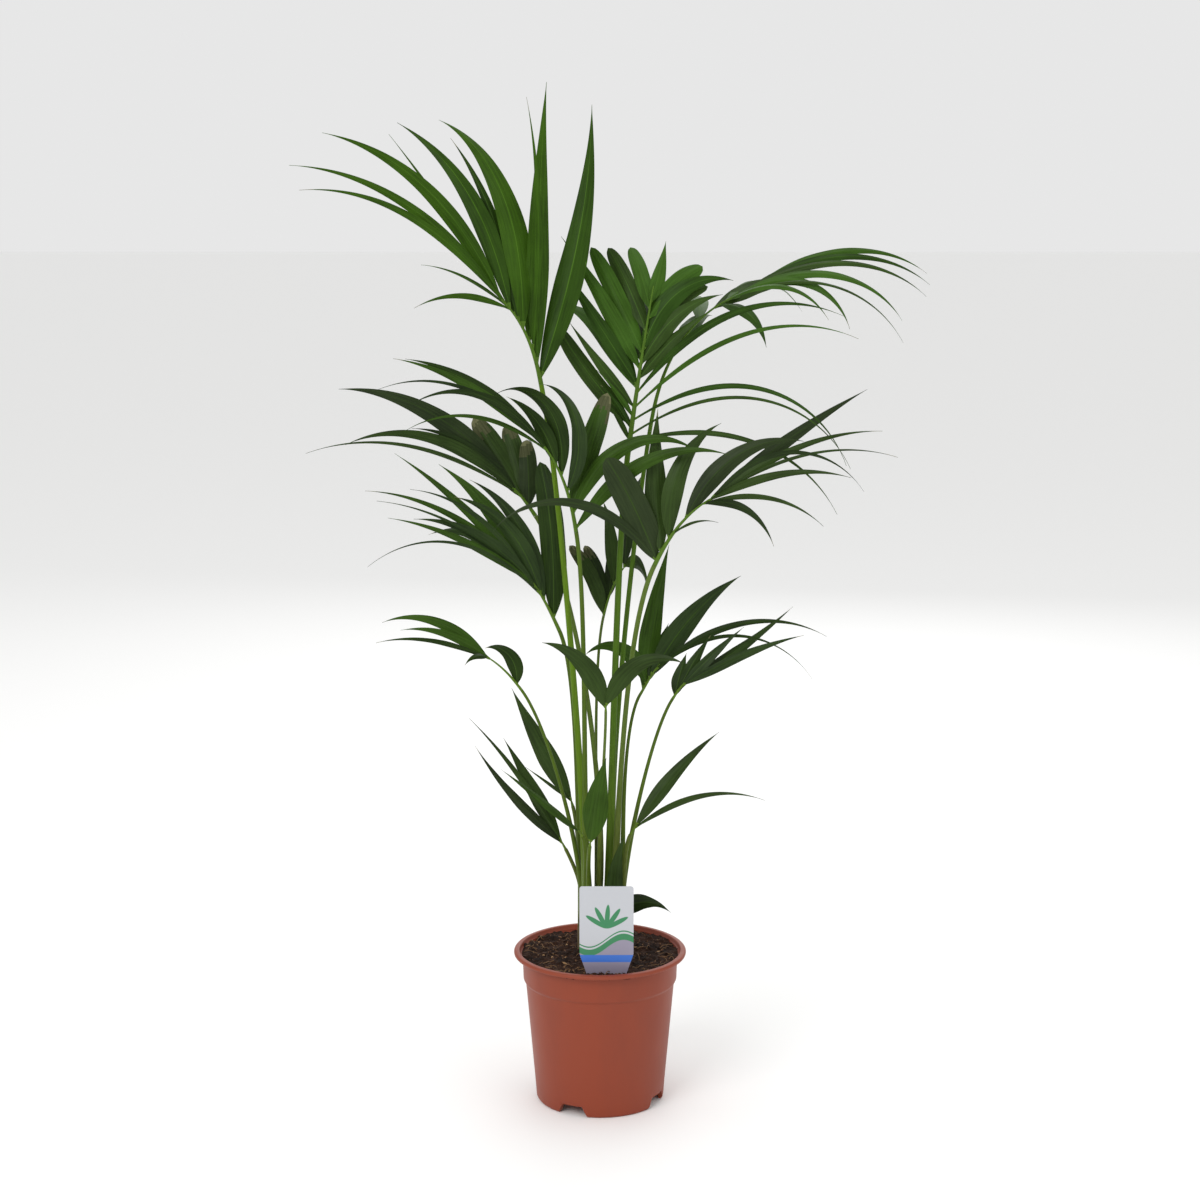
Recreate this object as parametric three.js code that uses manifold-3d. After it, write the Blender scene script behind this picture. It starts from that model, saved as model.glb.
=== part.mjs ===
// A potted kentia palm: a clump of slender stems in a moulded nursery pot, each stem carrying
// several fronds. Every frond is a bare petiole that ends in a crown point, a rachis that runs on
// from there, and fans of long leaflets along the rachis.
//
// Units are millimetres, +Z is up, and the origin is the centre of the pot's flat underside.
// A bearing is an angle in plan, from +X towards +Y. A rise is an angle above the horizontal.
// A droop is how far the rise has fallen by the far end of a limb or leaflet, under its own weight.

import * as THREE from 'three';
import { mergeVertices } from 'three/addons/utils/BufferGeometryUtils.js';
import Module from 'manifold-3d';

const wasm = await Module();
wasm.setup();

// ---------------------------------------------------------------- driving dimensions

const SEAT = 0.3; // gap between pieces that rest on each other

const POT = {
  height: 170,
  rimRadius: 95,
  rimThickness: 4,
  collarRadius: 85.5,
  collarFoot: 137, // height of the step under the collar
  bodyRadius: 82, // just under that step
  footRadius: 70.5,
  footChamfer: 2,
  wall: 1.8,
  floor: 14.5, // height of the inner floor
  facets: 40,
};

const DRAIN = {
  innerRadius: 40, // the flat middle of the underside ends here
  outerRadius: 66, // and the foot ring starts here
  depth: 12.5,
  notchCount: 4,
  notchFoot: 36, // width of a notch at the ground
  notchTop: 24, // and under its upper edge
  notchHeight: 12,
  notchBearing: -116, // of the first notch, the one beside the front
};

const SOIL = {
  level: 164, // of its flat middle
  flatRadius: 46,
  edgeLevel: 163,
  slotDepth: 30, // how deep the label stands in it
};

const LABEL = {
  width: 58,
  thickness: 1.2,
  top: 261,
  shoulder: 186, // where the straight sides end and the stake narrows
  stakeWidth: 22,
  corner: 3,
  centre: [7, -67],
};

// Each stem: its centre in plan, its half width and half depth at the flat top that carries the
// petioles, how much wider its foot is, and its height above the soil.
const STEMS = {
  stem_left: { centre: [-14.5, -11], half: [5.6, 15], flare: 1.15, height: 76 },
  stem_back_left: { centre: [-18.5, 19], half: [6.4, 11.4], flare: 1.12, height: 76 },
  stem_middle: { centre: [-2, 2], half: [4.6, 13], flare: 1.2, height: 76 },
  stem_right: { centre: [12.4, 3], half: [7.6, 15.5], flare: 1.1, height: 76 },
  stem_far_right: { centre: [25.6, -1], half: [4.4, 15], flare: 1.15, height: 76 },
  stem_front: { centre: [12, -27], half: [3.2, 3.2], flare: 1.3, height: 34 },
};

const LEAFLET = {
  thinness: 90, // length over thickness
  leastThickness: 1.4,
  segments: 5,
  rootWidth: 3.2,
  tipWidth: 0.7,
  widest: 0.36, // where along its length it is widest
  bendPower: 1.5, // how late along its length a leaflet or rachis gives way
};

const PETIOLE = {
  sides: 6,
  segments: 6,
  footHandle: 0.3, // how far it keeps its first direction, as a share of its reach
  crownHandle: 0.18, // how far it already runs along the rachis
};

const RACHIS = {
  sides: 5,
  segments: 4,
  tipRadius: 0.8,
};

// Each frond: the stem it grows from, its foot on that stem, the radius of its petiole at the foot
// and at the crown, how much of the petiole's lean it already has at its foot, the crown point,
// the bearing and rise that the leaflets' upper faces look towards, and the rachis. In a fan a pair
// is [first leaflet, last leaflet] and a single value holds for the whole fan. Lengths and widths
// are in millimetres, angles in degrees, and along is the share of the rachis. A blunt leaflet ends
// in a round tip, the others in a fine point.
const FRONDS = {
  high_left: {
    stem: 'stem_left', foot: [0, 9.4], radii: [4, 2.6], lean: 0.5,
    crown: [-62, -10, 793], face: [278, 22],
    rachis: { length: 103, bearing: 190, rise: 79, droop: 37 },
    fans: [
      { count: 2, along: [0.06, 0.2], length: [292, 293], bearing: [30, 60], rise: [69, 89],
        droop: [-21, 8], width: [30, 24] },
      { count: 1, along: 0.35, length: 266, bearing: 120, rise: 101, droop: 34, width: 8 },
      { count: 2, along: [0.6, 0.68], length: [266, 210], bearing: [139, 148], rise: [90, 78],
        droop: [73, 30], width: [29, 13] },
      { count: 2, along: [0.84, 0.97], length: [235, 260], bearing: [164, 193], rise: [77, 64],
        droop: [49, 53], width: [22, 18] },
      { count: 2, along: [0.95, 0.9], length: [275, 279], bearing: [205, 217], rise: [51, 46],
        droop: [49, 50], width: [11, 9] },
      { count: 2, along: [0.9, 0.88], length: [213, 108], bearing: [175, 159], rise: [58, 36],
        droop: [7, 33], width: [6, 4] },
      { count: 1, along: 0.84, length: 131, bearing: 225, rise: 20, droop: 44, width: 7 },
      { count: 2, along: [0.45, 0.75], length: [220, 190], bearing: [84, 104], rise: [60, 56],
        droop: 60, width: [24, 20] },
    ],
  },
  high_middle: {
    stem: 'stem_right', foot: [-1.6, 0.6], radii: [4.4, 3], lean: 0.4,
    crown: [31, 25, 724], face: [262, 24],
    rachis: { length: 172, bearing: 10, rise: 82, droop: 2 },
    fans: [
      { count: 3, along: [0.03, 0.18], length: [52, 64], bearing: 178, rise: [66, 60],
        droop: 20, width: [6, 7] },
      { count: 1, along: 0.13, length: 132, bearing: 170, rise: 47, droop: -13, width: 19,
        blunt: true },
      { count: 1, along: 0.24, length: 116, bearing: 176, rise: 51, droop: -4, width: 12 },
      { count: 2, along: [0.38, 0.48], length: [152, 165], bearing: [172, 165], rise: [57, 62],
        droop: [0, 10], width: [17, 18] },
      { count: 3, along: [0.58, 0.86], length: [128, 86], bearing: [150, 109], rise: [63, 56],
        droop: [7, 22], width: [19, 17], blunt: true },
      { count: 1, along: 0.9, length: 74, bearing: 64, rise: 50, droop: -22, width: 16 },
      { count: 2, along: [0.8, 0.7], length: [84, 86], bearing: [20, 12], rise: [54, 52],
        droop: [34, 40], width: [23, 16], blunt: true },
      { count: 3, along: [0.6, 0.42], length: [135, 103], bearing: [5, -5], rise: [72, 52],
        droop: [88, 20], width: [24, 16] },
      { count: 2, along: [0.33, 0.24], length: [281, 305], bearing: -36, rise: [47, 40],
        droop: [68, 58], width: [9, 6] },
      { count: 2, along: [0.16, 0.07], length: [287, 285], bearing: [-27, -25], rise: [31, 32],
        droop: [99, 95], width: [6, 4] },
      { count: 1, along: 0.03, length: 262, bearing: -23, rise: 14, droop: 76, width: 6 },
      { count: 3, along: [0.36, 0.7], length: [196, 150], bearing: [122, 78], rise: [46, 40],
        droop: [52, 60], width: [24, 22] },
    ],
  },
  high_right: {
    stem: 'stem_right', foot: [0.2, 10.2], radii: [3.4, 2.3], lean: -0.3,
    crown: [54, 58, 736], face: [276, 44],
    rachis: { length: 193, bearing: -3, rise: 81, droop: 64 },
    fans: [
      { count: 3, along: [1, 0.92], length: [216, 222], bearing: [8, -8], rise: [33, 30],
        droop: [70, 74], width: [11, 10] },
      { count: 2, along: 0.92, length: [206, 166], bearing: [-19, -33], rise: 27,
        droop: [85, 98], width: [12, 11] },
      { count: 2, along: 0.9, length: [231, 145], bearing: [-35, -43], rise: [21, 23],
        droop: [80, 77], width: [5, 8] },
      { count: 1, along: 0.84, length: 95, bearing: -54, rise: 1, droop: 75, width: 15 },
      { count: 2, along: [0.8, 0.5], length: [150, 130], bearing: [40, 70], rise: [24, 28],
        droop: [44, 40], width: 20 },
      { count: 3, along: [0.88, 0.5], length: [206, 176], bearing: [62, 112], rise: [16, 26],
        droop: [56, 60], width: [20, 22] },
    ],
  },
  upper_left: {
    stem: 'stem_left', foot: [0.2, 1.6], radii: [3.2, 2.3], lean: 1.2,
    crown: [-25, -40, 640], face: [258, 26],
    rachis: { length: 124, bearing: 190, rise: 81, droop: 40 },
    fans: [
      { count: 1, along: 0.2, length: 130, bearing: 45, rise: 69, droop: 7, width: 25,
        blunt: true },
      { count: 2, along: [0.36, 0.5], length: [139, 163], bearing: [141, 213], rise: [119, 95],
        droop: [116, 139], width: [19, 21] },
      { count: 2, along: [0.6, 0.75], length: [93, 211], bearing: [190, 224], rise: [75, 46],
        droop: [52, 74], width: [17, 10] },
      { count: 2, along: [0.9, 0.85], length: [163, 184], bearing: [190, 200], rise: [47, 43],
        droop: [39, 33], width: [13, 11] },
      { count: 2, along: [0.8, 0.75], length: [237, 176], bearing: [222, 210], rise: [41, 35],
        droop: [58, 64], width: 5 },
      { count: 2, along: [0.16, 0.03], length: [173, 200], bearing: [-9, -16], rise: [69, 55],
        droop: [106, 72], width: [18, 17] },
    ],
  },
  outer_left: {
    stem: 'stem_middle', foot: [1.2, 0.6], radii: [2.9, 2.4], lean: -0.4,
    crown: [-70, 40, 646], face: [275, 26],
    rachis: { length: 42, bearing: 176, rise: 56, droop: 12 },
    fans: [
      { count: 1, along: 0.9, length: 225, bearing: 180, rise: 51, droop: 53, width: 24 },
      { count: 3, along: [0.6, 0.3], length: [101, 72], bearing: [160, 110], rise: [61, 92],
        droop: [12, 20], width: [25, 20], blunt: true },
      { count: 2, along: [0.8, 0.7], length: [206, 254], bearing: [193, 205], rise: [44, 33],
        droop: [69, 50], width: [14, 5] },
      { count: 1, along: 0.8, length: 137, bearing: 187, rise: 52, droop: 51, width: 11 },
      { count: 3, along: [0.9, 0.5], length: [170, 160], bearing: [130, 90], rise: [38, 44],
        droop: [62, 66], width: [24, 22] },
    ],
  },
  mid_left: {
    stem: 'stem_back_left', foot: [-0.6, 0.8], radii: [2.8, 2.2], lean: 1.1,
    crown: [-44, 10, 525], face: [262, 22],
    rachis: { length: 74, bearing: 182, rise: 66, droop: 14 },
    fans: [
      { count: 1, along: 0.2, length: 171, bearing: 125, rise: 92, droop: 27, width: 28,
        blunt: true },
      { count: 2, along: [0.5, 0.78], length: [161, 168], bearing: [155, 162], rise: [78, 62],
        droop: [57, 31], width: [18, 21] },
      { count: 2, along: [0.6, 0.7], length: [149, 162], bearing: [185, 195], rise: [74, 51],
        droop: [62, 50], width: [19, 15] },
      { count: 2, along: [0.9, 0.92], length: [199, 206], bearing: [168, 193], rise: [48, 46],
        droop: [17, 42], width: [11, 8] },
      { count: 2, along: 0.9, length: [171, 194], bearing: [197, 200], rise: [58, 42],
        droop: [51, 34], width: [6, 4] },
      { count: 2, along: [0.8, 0.6], length: [187, 246], bearing: [205, 219], rise: [36, 42],
        droop: [25, 72], width: [9, 4] },
      { count: 3, along: [0.9, 0.5], length: [160, 170], bearing: [140, 105], rise: [36, 40],
        droop: [60, 70], width: [18, 20] },
    ],
  },
  low_outer_left: {
    stem: 'stem_back_left', foot: [-2.6, -7], radii: [2.3, 1.6], lean: 0.4,
    crown: [-84, -30, 468], face: [264, 34],
    rachis: { length: 54, bearing: 188, rise: 54, droop: 23 },
    fans: [
      { count: 2, along: [0.95, 0.9], length: [126, 105], bearing: [179, 194], rise: [46, 39],
        droop: [69, 47], width: [12, 10] },
      { count: 2, along: [0.9, 0.95], length: [142, 42], bearing: [212, 235], rise: [26, 21],
        droop: [32, 60], width: [6, 7] },
      { count: 1, along: 0.15, length: 62, bearing: 167, rise: 93, droop: 117, width: 17 },
    ],
  },
  blade_left: {
    stem: 'stem_back_left', foot: [-3.3, 5.6], radii: [2.1, 1.8], lean: 0,
    crown: [-30, 21, 326], face: [256, 20],
    rachis: { length: 8, bearing: 165, rise: 74, droop: 0 },
    fans: [
      { count: 2, along: 0.8, length: [140, 64], bearing: [162, 190], rise: [59, 39],
        droop: [-4, 2], width: [23, 4] },
    ],
  },
  foot_left: {
    stem: 'stem_back_left', foot: [-4.6, -1.8], radii: [1.5, 1.5], lean: 0.6,
    crown: [-38, 15, 279], face: [268, 34],
    rachis: { length: 12, bearing: 176, rise: 62, droop: 0 },
    fans: [
      { count: 2, along: [0.9, 0.8], length: [129, 171], bearing: [166, 180], rise: [61, 60],
        droop: [3, 15], width: [17, 7] },
      { count: 1, along: 0.6, length: 154, bearing: 200, rise: 44, droop: -15, width: 12 },
    ],
  },
  strap_left: {
    stem: 'stem_left', foot: [-1.4, -4.6], radii: [2.3, 1.8], lean: 0,
    crown: [-19, -30, 306], face: [290, 40],
    rachis: { length: 8, bearing: 222, rise: 58, droop: 0 },
    fans: [
      { count: 1, along: 0.8, length: 141, bearing: 222, rise: 40, droop: 3, width: 11 },
    ],
  },
  blade_front: {
    stem: 'stem_left', foot: [1.8, -9.4], radii: [2.1, 1.7], lean: 0,
    crown: [-11, -62, 304], face: [252, 16],
    rachis: { length: 6, bearing: 300, rise: 76, droop: 0 },
    fans: [
      { count: 1, along: 0.8, length: 97, bearing: -24, rise: 82, droop: 8, width: 28 },
    ],
  },
  young_front: {
    stem: 'stem_front', foot: [0, 0], radii: [2.4, 1.9], lean: 0,
    crown: [14, -30, 212], face: [268, 26],
    rachis: { length: 6, bearing: 0, rise: 70, droop: 0 },
    fans: [
      { count: 2, along: 0.8, length: [93, 84], bearing: [-20, -38], rise: [92, 42],
        droop: [23, 72], width: [18, 20] },
    ],
  },
  foot_right: {
    stem: 'stem_far_right', foot: [0.2, -10.2], radii: [2.3, 1.8], lean: 0,
    crown: [33, -24, 306], face: [282, 30],
    rachis: { length: 12, bearing: 5, rise: 62, droop: 6 },
    fans: [
      { count: 2, along: [0.95, 0.7], length: [137, 181], bearing: [18, -35], rise: [54, 37],
        droop: [21, 45], width: [16, 7] },
    ],
  },
  low_right: {
    stem: 'stem_far_right', foot: [-0.4, -3.4], radii: [2.5, 1.7], lean: 0.5,
    crown: [78, -16, 455], face: [268, 36],
    rachis: { length: 22, bearing: -8, rise: 58, droop: 8 },
    fans: [
      { count: 2, along: [0.9, 0.85], length: [146, 169], bearing: [12, -36], rise: [29, 31],
        droop: [-11, 14], width: [13, 12] },
      { count: 3, along: [0.7, 0.2], length: [94, 48], bearing: [8, 50], rise: [46, 70],
        droop: [7, 12], width: [12, 15] },
    ],
  },
  mid_right: {
    stem: 'stem_far_right', foot: [-0.6, 5], radii: [2.4, 1.7], lean: 0,
    crown: [44, 45, 446], face: [286, 24],
    rachis: { length: 35, bearing: 2, rise: 60, droop: 1 },
    fans: [
      { count: 2, along: [0.2, 0.7], length: [166, 150], bearing: [60, 2], rise: [76, 61],
        droop: [21, 31], width: [24, 26] },
      { count: 2, along: [0.4, 0.5], length: [94, 74], bearing: [187, 60], rise: [74, 56],
        droop: [121, 13], width: [18, 15] },
      { count: 2, along: [1, 0.9], length: [205, 216], bearing: [-12, -31], rise: 40,
        droop: [68, 93], width: [8, 5] },
      { count: 2, along: [0.6, 0.9], length: [110, 100], bearing: [85, 60], rise: [62, 50],
        droop: 40, width: 16 },
    ],
  },
  front: {
    stem: 'stem_middle', foot: [0.4, -8], radii: [2, 1.5], lean: 0,
    crown: [6, -85, 456], face: [270, 30],
    rachis: { length: 8, bearing: 270, rise: 82, droop: 0 },
    fans: [
      { count: 2, along: [0.6, 0.9], length: [104, 112], bearing: [187, -19], rise: [73, 67],
        droop: [66, 92], width: [22, 20] },
    ],
  },
  back: {
    stem: 'stem_middle', foot: [-1.4, 8], radii: [2, 1.5], lean: 0,
    crown: [4, 75, 529], face: [266, 22],
    rachis: { length: 62, bearing: 14, rise: 76, droop: 26 },
    fans: [
      { count: 3, along: [0.02, 0.35], length: [87, 63], bearing: [170, 80], rise: [77, 62],
        droop: [35, 24], width: [16, 14], blunt: true },
      { count: 1, along: 0.97, length: 82, bearing: -64, rise: 30, droop: 163, width: 17 },
      { count: 2, along: [0.6, 0.95], length: [110, 130], bearing: [100, 75], rise: [72, 70],
        droop: 50, width: 16 },
    ],
  },
  upper_right: {
    stem: 'stem_right', foot: [3.6, -9], radii: [3.1, 2.5], lean: 0.4,
    crown: [57, -65, 609], face: [272, 26],
    rachis: { length: 98, bearing: -4, rise: 64, droop: 37 },
    fans: [
      { count: 1, along: 0.05, length: 121, bearing: 187, rise: 69, droop: 13, width: 32,
        blunt: true },
      { count: 2, along: [0.15, 0.32], length: [152, 143], bearing: [110, 30], rise: [74, 91],
        droop: [-30, 72], width: [25, 22] },
      { count: 1, along: 0.6, length: 158, bearing: -2, rise: 63, droop: 74, width: 21 },
      { count: 2, along: [1, 0.98], length: [200, 190], bearing: [16, -2], rise: 37,
        droop: [12, 38], width: [15, 8] },
      { count: 2, along: 0.95, length: [205, 208], bearing: [-13, -37], rise: [34, 45],
        droop: [50, 97], width: [4, 6] },
      { count: 2, along: [0.9, 0.85], length: [163, 154], bearing: [-24, -38], rise: [28, 17],
        droop: [41, 53], width: [9, 6] },
      { count: 2, along: [0.85, 0.4], length: [117, 70], bearing: [-48, -50], rise: [12, 30],
        droop: [75, 37], width: [9, 3] },
      { count: 1, along: 0.05, length: 203, bearing: 189, rise: 52, droop: 103, width: 12 },
    ],
  },
};

const COLOURS = {
  pot: 0x994a35,
  soil: 0x3a2518,
  label: 0xc2c3cb,
  stem: 0x6f8a34,
  petiole: 0x5f8f2c,
  frond: 0x35601f,
};

// ---------------------------------------------------------------- small tools

const radians = THREE.MathUtils.degToRad;
const lerp = THREE.MathUtils.lerp;
const X_AXIS = new THREE.Vector3(1, 0, 0);
const palm = new THREE.Group();

function addPiece(name, geometry, colour, roughness) {
  const material = new THREE.MeshStandardMaterial({ color: colour, roughness, metalness: 0 });
  const mesh = new THREE.Mesh(geometry, material);
  mesh.name = name;
  palm.add(mesh);
}

// a closed geometry as a solid that can be joined and cut
function solidOf(geometry) {
  const bare = geometry.clone();
  bare.deleteAttribute('normal');
  bare.deleteAttribute('uv');
  const merged = mergeVertices(bare, 1e-4);
  const mesh = new wasm.Mesh({
    numProp: 3,
    vertProperties: new Float32Array(merged.attributes.position.array),
    triVerts: new Uint32Array(merged.index.array),
  });
  return new wasm.Manifold(mesh);
}

function geometryOf(solid) {
  const mesh = solid.getMesh();
  const geometry = new THREE.BufferGeometry();
  geometry.setAttribute('position', new THREE.BufferAttribute(mesh.vertProperties, 3));
  geometry.setIndex(new THREE.BufferAttribute(mesh.triVerts, 1));
  geometry.computeVertexNormals();
  return geometry;
}

function cut(geometry, tools) {
  let solid = solidOf(geometry);
  for (const tool of tools) solid = solid.subtract(solidOf(tool));
  return geometryOf(solid);
}

function join(geometries) {
  let solid = solidOf(geometries[0]);
  for (const geometry of geometries.slice(1)) solid = solid.add(solidOf(geometry));
  return geometryOf(solid);
}

// an upright lathe round +Z from [radius, height] pairs
function lathe(profile, facets) {
  const points = profile.map(([radius, height]) => new THREE.Vector2(radius, height));
  return new THREE.LatheGeometry(points, facets).rotateX(Math.PI / 2);
}

function direction(bearing, rise) {
  const flat = Math.cos(radians(rise));
  return new THREE.Vector3(
    flat * Math.cos(radians(bearing)),
    flat * Math.sin(radians(bearing)),
    Math.sin(radians(rise)),
  );
}

// the points of a limb that leaves its root at a bearing and a rise, and droops along its length
function droopingLine(root, limb, segments) {
  const points = [root.clone()];
  const stepsEach = 4;
  const steps = stepsEach * segments;
  const position = root.clone();
  for (let i = 0; i < steps; i += 1) {
    const rise = limb.rise - limb.droop * ((i + 0.5) / steps) ** LEAFLET.bendPower;
    position.addScaledVector(direction(limb.bearing, rise), limb.length / steps);
    if ((i + 1) % stepsEach === 0) points.push(position.clone());
  }
  return points;
}

// the direction of a line at each of its points, from its neighbours; at an end it is carried on
// from the two nearest steps, so that an end face stands square to the curve and not to a chord
function tangentsOf(line) {
  const steps = line.slice(1).map((point, i) => point.clone().sub(line[i]));
  const last = steps.length - 1;
  return line.map((point, i) => {
    if (i === 0) return steps[0].clone().multiplyScalar(3).sub(steps[1]).normalize();
    if (i > last) return steps[last].clone().multiplyScalar(3).sub(steps[last - 1]).normalize();
    return steps[i - 1].clone().add(steps[i]).normalize();
  });
}

// a bar of some sides bent along a line of points; halves(s) gives its half width and half
// thickness at the fraction s of the line, and across is the direction of its width at the root
function bar(line, sides, across, halves) {
  const segments = line.length - 1;
  const geometry = new THREE.CylinderGeometry(1, 1, segments, sides, segments);
  geometry.translate(0, segments / 2, 0);
  const tangents = tangentsOf(line);
  const widths = [];
  const carried = across.clone();
  for (const tangent of tangents) {
    carried.addScaledVector(tangent, -carried.dot(tangent)).normalize();
    widths.push(carried.clone());
  }
  const position = geometry.attributes.position;
  for (let i = 0; i < position.count; i += 1) {
    const step = Math.round(position.getY(i));
    const [halfWidth, halfThickness] = halves(step / segments);
    const normal = widths[step].clone().cross(tangents[step]);
    const point = line[step].clone()
      .addScaledVector(widths[step], position.getX(i) * halfWidth)
      .addScaledVector(normal, position.getZ(i) * halfThickness);
    position.setXYZ(i, point.x, point.y, point.z);
  }
  return geometry;
}

// ---------------------------------------------------------------- the pot and what is in it

// the tool that opens the foot ring at a bearing, narrower towards its upper edge
function notchGeometry(bearing) {
  const foot = DRAIN.notchFoot / 2;
  const top = DRAIN.notchTop / 2;
  const outline = new THREE.Shape();
  outline.moveTo(-foot, -1);
  outline.lineTo(foot, -1);
  outline.lineTo(foot, 0);
  outline.lineTo(top, DRAIN.notchHeight);
  outline.lineTo(-top, DRAIN.notchHeight);
  outline.lineTo(-foot, 0);
  const depth = POT.footRadius - DRAIN.outerRadius + 20;
  const notch = new THREE.ExtrudeGeometry(outline, { depth, bevelEnabled: false });
  return notch.rotateX(Math.PI / 2).translate(0, 8 - DRAIN.outerRadius, 0)
    .rotateZ(radians(bearing + 90));
}

function potGeometry() {
  const { height, wall, floor } = POT;
  const rimFoot = height - POT.rimThickness;
  const shell = lathe([
    [0, 0],
    [POT.footRadius - POT.footChamfer, 0],
    [POT.footRadius, POT.footChamfer],
    [POT.bodyRadius, POT.collarFoot - 2],
    [POT.collarRadius - 1, POT.collarFoot],
    [POT.collarRadius, rimFoot],
    [POT.rimRadius - 1, rimFoot],
    [POT.rimRadius, rimFoot + 1],
    [POT.rimRadius, height - 1],
    [POT.rimRadius - 1, height],
    [POT.collarRadius - wall, height],
    [POT.collarRadius - wall - 1, POT.collarFoot],
    [POT.bodyRadius - wall, POT.collarFoot - 4],
    [POT.footRadius - wall, floor],
    [0, floor],
  ], POT.facets);
  const channel = lathe([
    [DRAIN.innerRadius, -1],
    [DRAIN.outerRadius, -1],
    [DRAIN.outerRadius, DRAIN.depth],
    [DRAIN.innerRadius, DRAIN.depth],
    [DRAIN.innerRadius, -1],
  ], POT.facets);
  const notches = Array.from({ length: DRAIN.notchCount }, (_, i) => (
    notchGeometry(DRAIN.notchBearing + (i * 360) / DRAIN.notchCount)
  ));
  return cut(shell, [channel, ...notches]);
}

function labelGeometry(grown) {
  const { width, stakeWidth, top, shoulder, corner } = LABEL;
  const half = width / 2 + grown;
  const stakeHalf = stakeWidth / 2 + grown;
  const foot = SOIL.edgeLevel - SOIL.slotDepth - grown;
  const outline = new THREE.Shape();
  outline.moveTo(-stakeHalf, foot);
  outline.lineTo(stakeHalf, foot);
  outline.lineTo(half, shoulder);
  outline.lineTo(half, top - corner);
  outline.absarc(half - corner, top - corner, corner, 0, Math.PI / 2);
  outline.lineTo(-half + corner, top);
  outline.absarc(-half + corner, top - corner, corner, Math.PI / 2, Math.PI);
  outline.lineTo(-half, shoulder);
  const depth = LABEL.thickness + 2 * grown;
  const card = new THREE.ExtrudeGeometry(outline, { depth, bevelEnabled: false, curveSegments: 4 });
  return card.translate(0, 0, -depth / 2).rotateX(Math.PI / 2)
    .translate(LABEL.centre[0], LABEL.centre[1], 0);
}

function soilGeometry() {
  const wallAt = POT.wall + SEAT;
  const mound = lathe([
    [0, POT.floor + SEAT],
    [POT.footRadius - wallAt, POT.floor + SEAT],
    [POT.bodyRadius - wallAt, POT.collarFoot - 4],
    [POT.collarRadius - wallAt - 1, POT.collarFoot],
    [POT.collarRadius - wallAt - 0.6, SOIL.edgeLevel],
    [SOIL.flatRadius, SOIL.level],
    [0, SOIL.level],
  ], POT.facets);
  return cut(mound, [labelGeometry(SEAT)]);
}

// ---------------------------------------------------------------- stems, petioles and fronds

const stemFoot = SOIL.level + SEAT;

function stemGeometry(stem) {
  const [x, y] = stem.centre;
  const segments = 4;
  const line = Array.from({ length: segments + 1 }, (_, i) => (
    new THREE.Vector3(x, y, stemFoot + (stem.height * i) / segments)
  ));
  return bar(line, 12, X_AXIS, (s) => {
    const swell = lerp(stem.flare, 1, Math.sqrt(s));
    return [stem.half[0] * lerp(1, swell, 0.4), stem.half[1] * swell];
  });
}

// the petiole leaves its stem upright, or leaning its share of the way to the crown, and arrives
// at the crown along the rachis
function petioleGeometry(frond) {
  const stem = STEMS[frond.stem];
  const foot = new THREE.Vector3(
    stem.centre[0] + frond.foot[0],
    stem.centre[1] + frond.foot[1],
    stemFoot + stem.height + SEAT,
  );
  const crown = new THREE.Vector3(...frond.crown);
  const heading = direction(frond.rachis.bearing, frond.rachis.rise);
  const reach = foot.distanceTo(crown);
  const start = new THREE.Vector3(
    frond.lean * (crown.x - foot.x),
    frond.lean * (crown.y - foot.y),
    reach,
  );
  const curve = new THREE.CubicBezierCurve3(
    foot,
    foot.clone().addScaledVector(start, PETIOLE.footHandle),
    crown.clone().addScaledVector(heading, -PETIOLE.crownHandle * reach),
    crown,
  );
  return bar(curve.getPoints(PETIOLE.segments), PETIOLE.sides, X_AXIS, (s) => {
    const radius = lerp(frond.radii[0], frond.radii[1], s);
    return [radius, radius];
  });
}

// a long blade, narrow at its root and widest a third of the way out; from there a fine blade
// draws out to a point, and a blunt one keeps its width and ends round
function leafletHalves(length, width, blunt) {
  const thickness = Math.max(length / LEAFLET.thinness, LEAFLET.leastThickness);
  return (s) => {
    const opening = Math.sin((Math.PI / 2) * Math.min(s / LEAFLET.widest, 1)) ** 0.75;
    const past = Math.max(s - LEAFLET.widest, 0) / (1 - LEAFLET.widest);
    const closing = blunt ? Math.sqrt(1 - past ** 5) : (1 - past ** 1.6) ** 1.1;
    const least = lerp(LEAFLET.rootWidth, LEAFLET.tipWidth, s);
    const full = Math.max(least, width * opening * closing);
    return [full / 2, (thickness / 2) * lerp(1, 0.45, s * s)];
  };
}

// a fan's own value for its leaflet at this share of the fan
function fanValue(value, share) {
  return Array.isArray(value) ? lerp(value[0], value[1], share) : value;
}

function frondGeometry(frond) {
  const heading = direction(frond.rachis.bearing, frond.rachis.rise);
  const face = direction(...frond.face);
  const root = new THREE.Vector3(...frond.crown).addScaledVector(heading, SEAT);
  const line = droopingLine(root, frond.rachis, RACHIS.segments);
  const rachisCurve = new THREE.CatmullRomCurve3(line);
  const pieces = [
    bar(line, RACHIS.sides, X_AXIS, (s) => {
      const radius = lerp(frond.radii[1], RACHIS.tipRadius, s);
      return [radius, radius];
    }),
  ];
  for (const fan of frond.fans) {
    for (let i = 0; i < fan.count; i += 1) {
      const share = fan.count > 1 ? i / (fan.count - 1) : 0;
      const limb = {
        length: fanValue(fan.length, share),
        bearing: fanValue(fan.bearing, share),
        rise: fanValue(fan.rise, share),
        droop: fanValue(fan.droop, share),
      };
      const from = rachisCurve.getPoint(fanValue(fan.along, share));
      const leaflet = droopingLine(from, limb, LEAFLET.segments);
      const across = direction(limb.bearing, limb.rise).cross(face);
      const halves = leafletHalves(limb.length, fanValue(fan.width, share), fan.blunt);
      pieces.push(bar(leaflet, 4, across, halves));
    }
  }
  return join(pieces);
}

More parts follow.
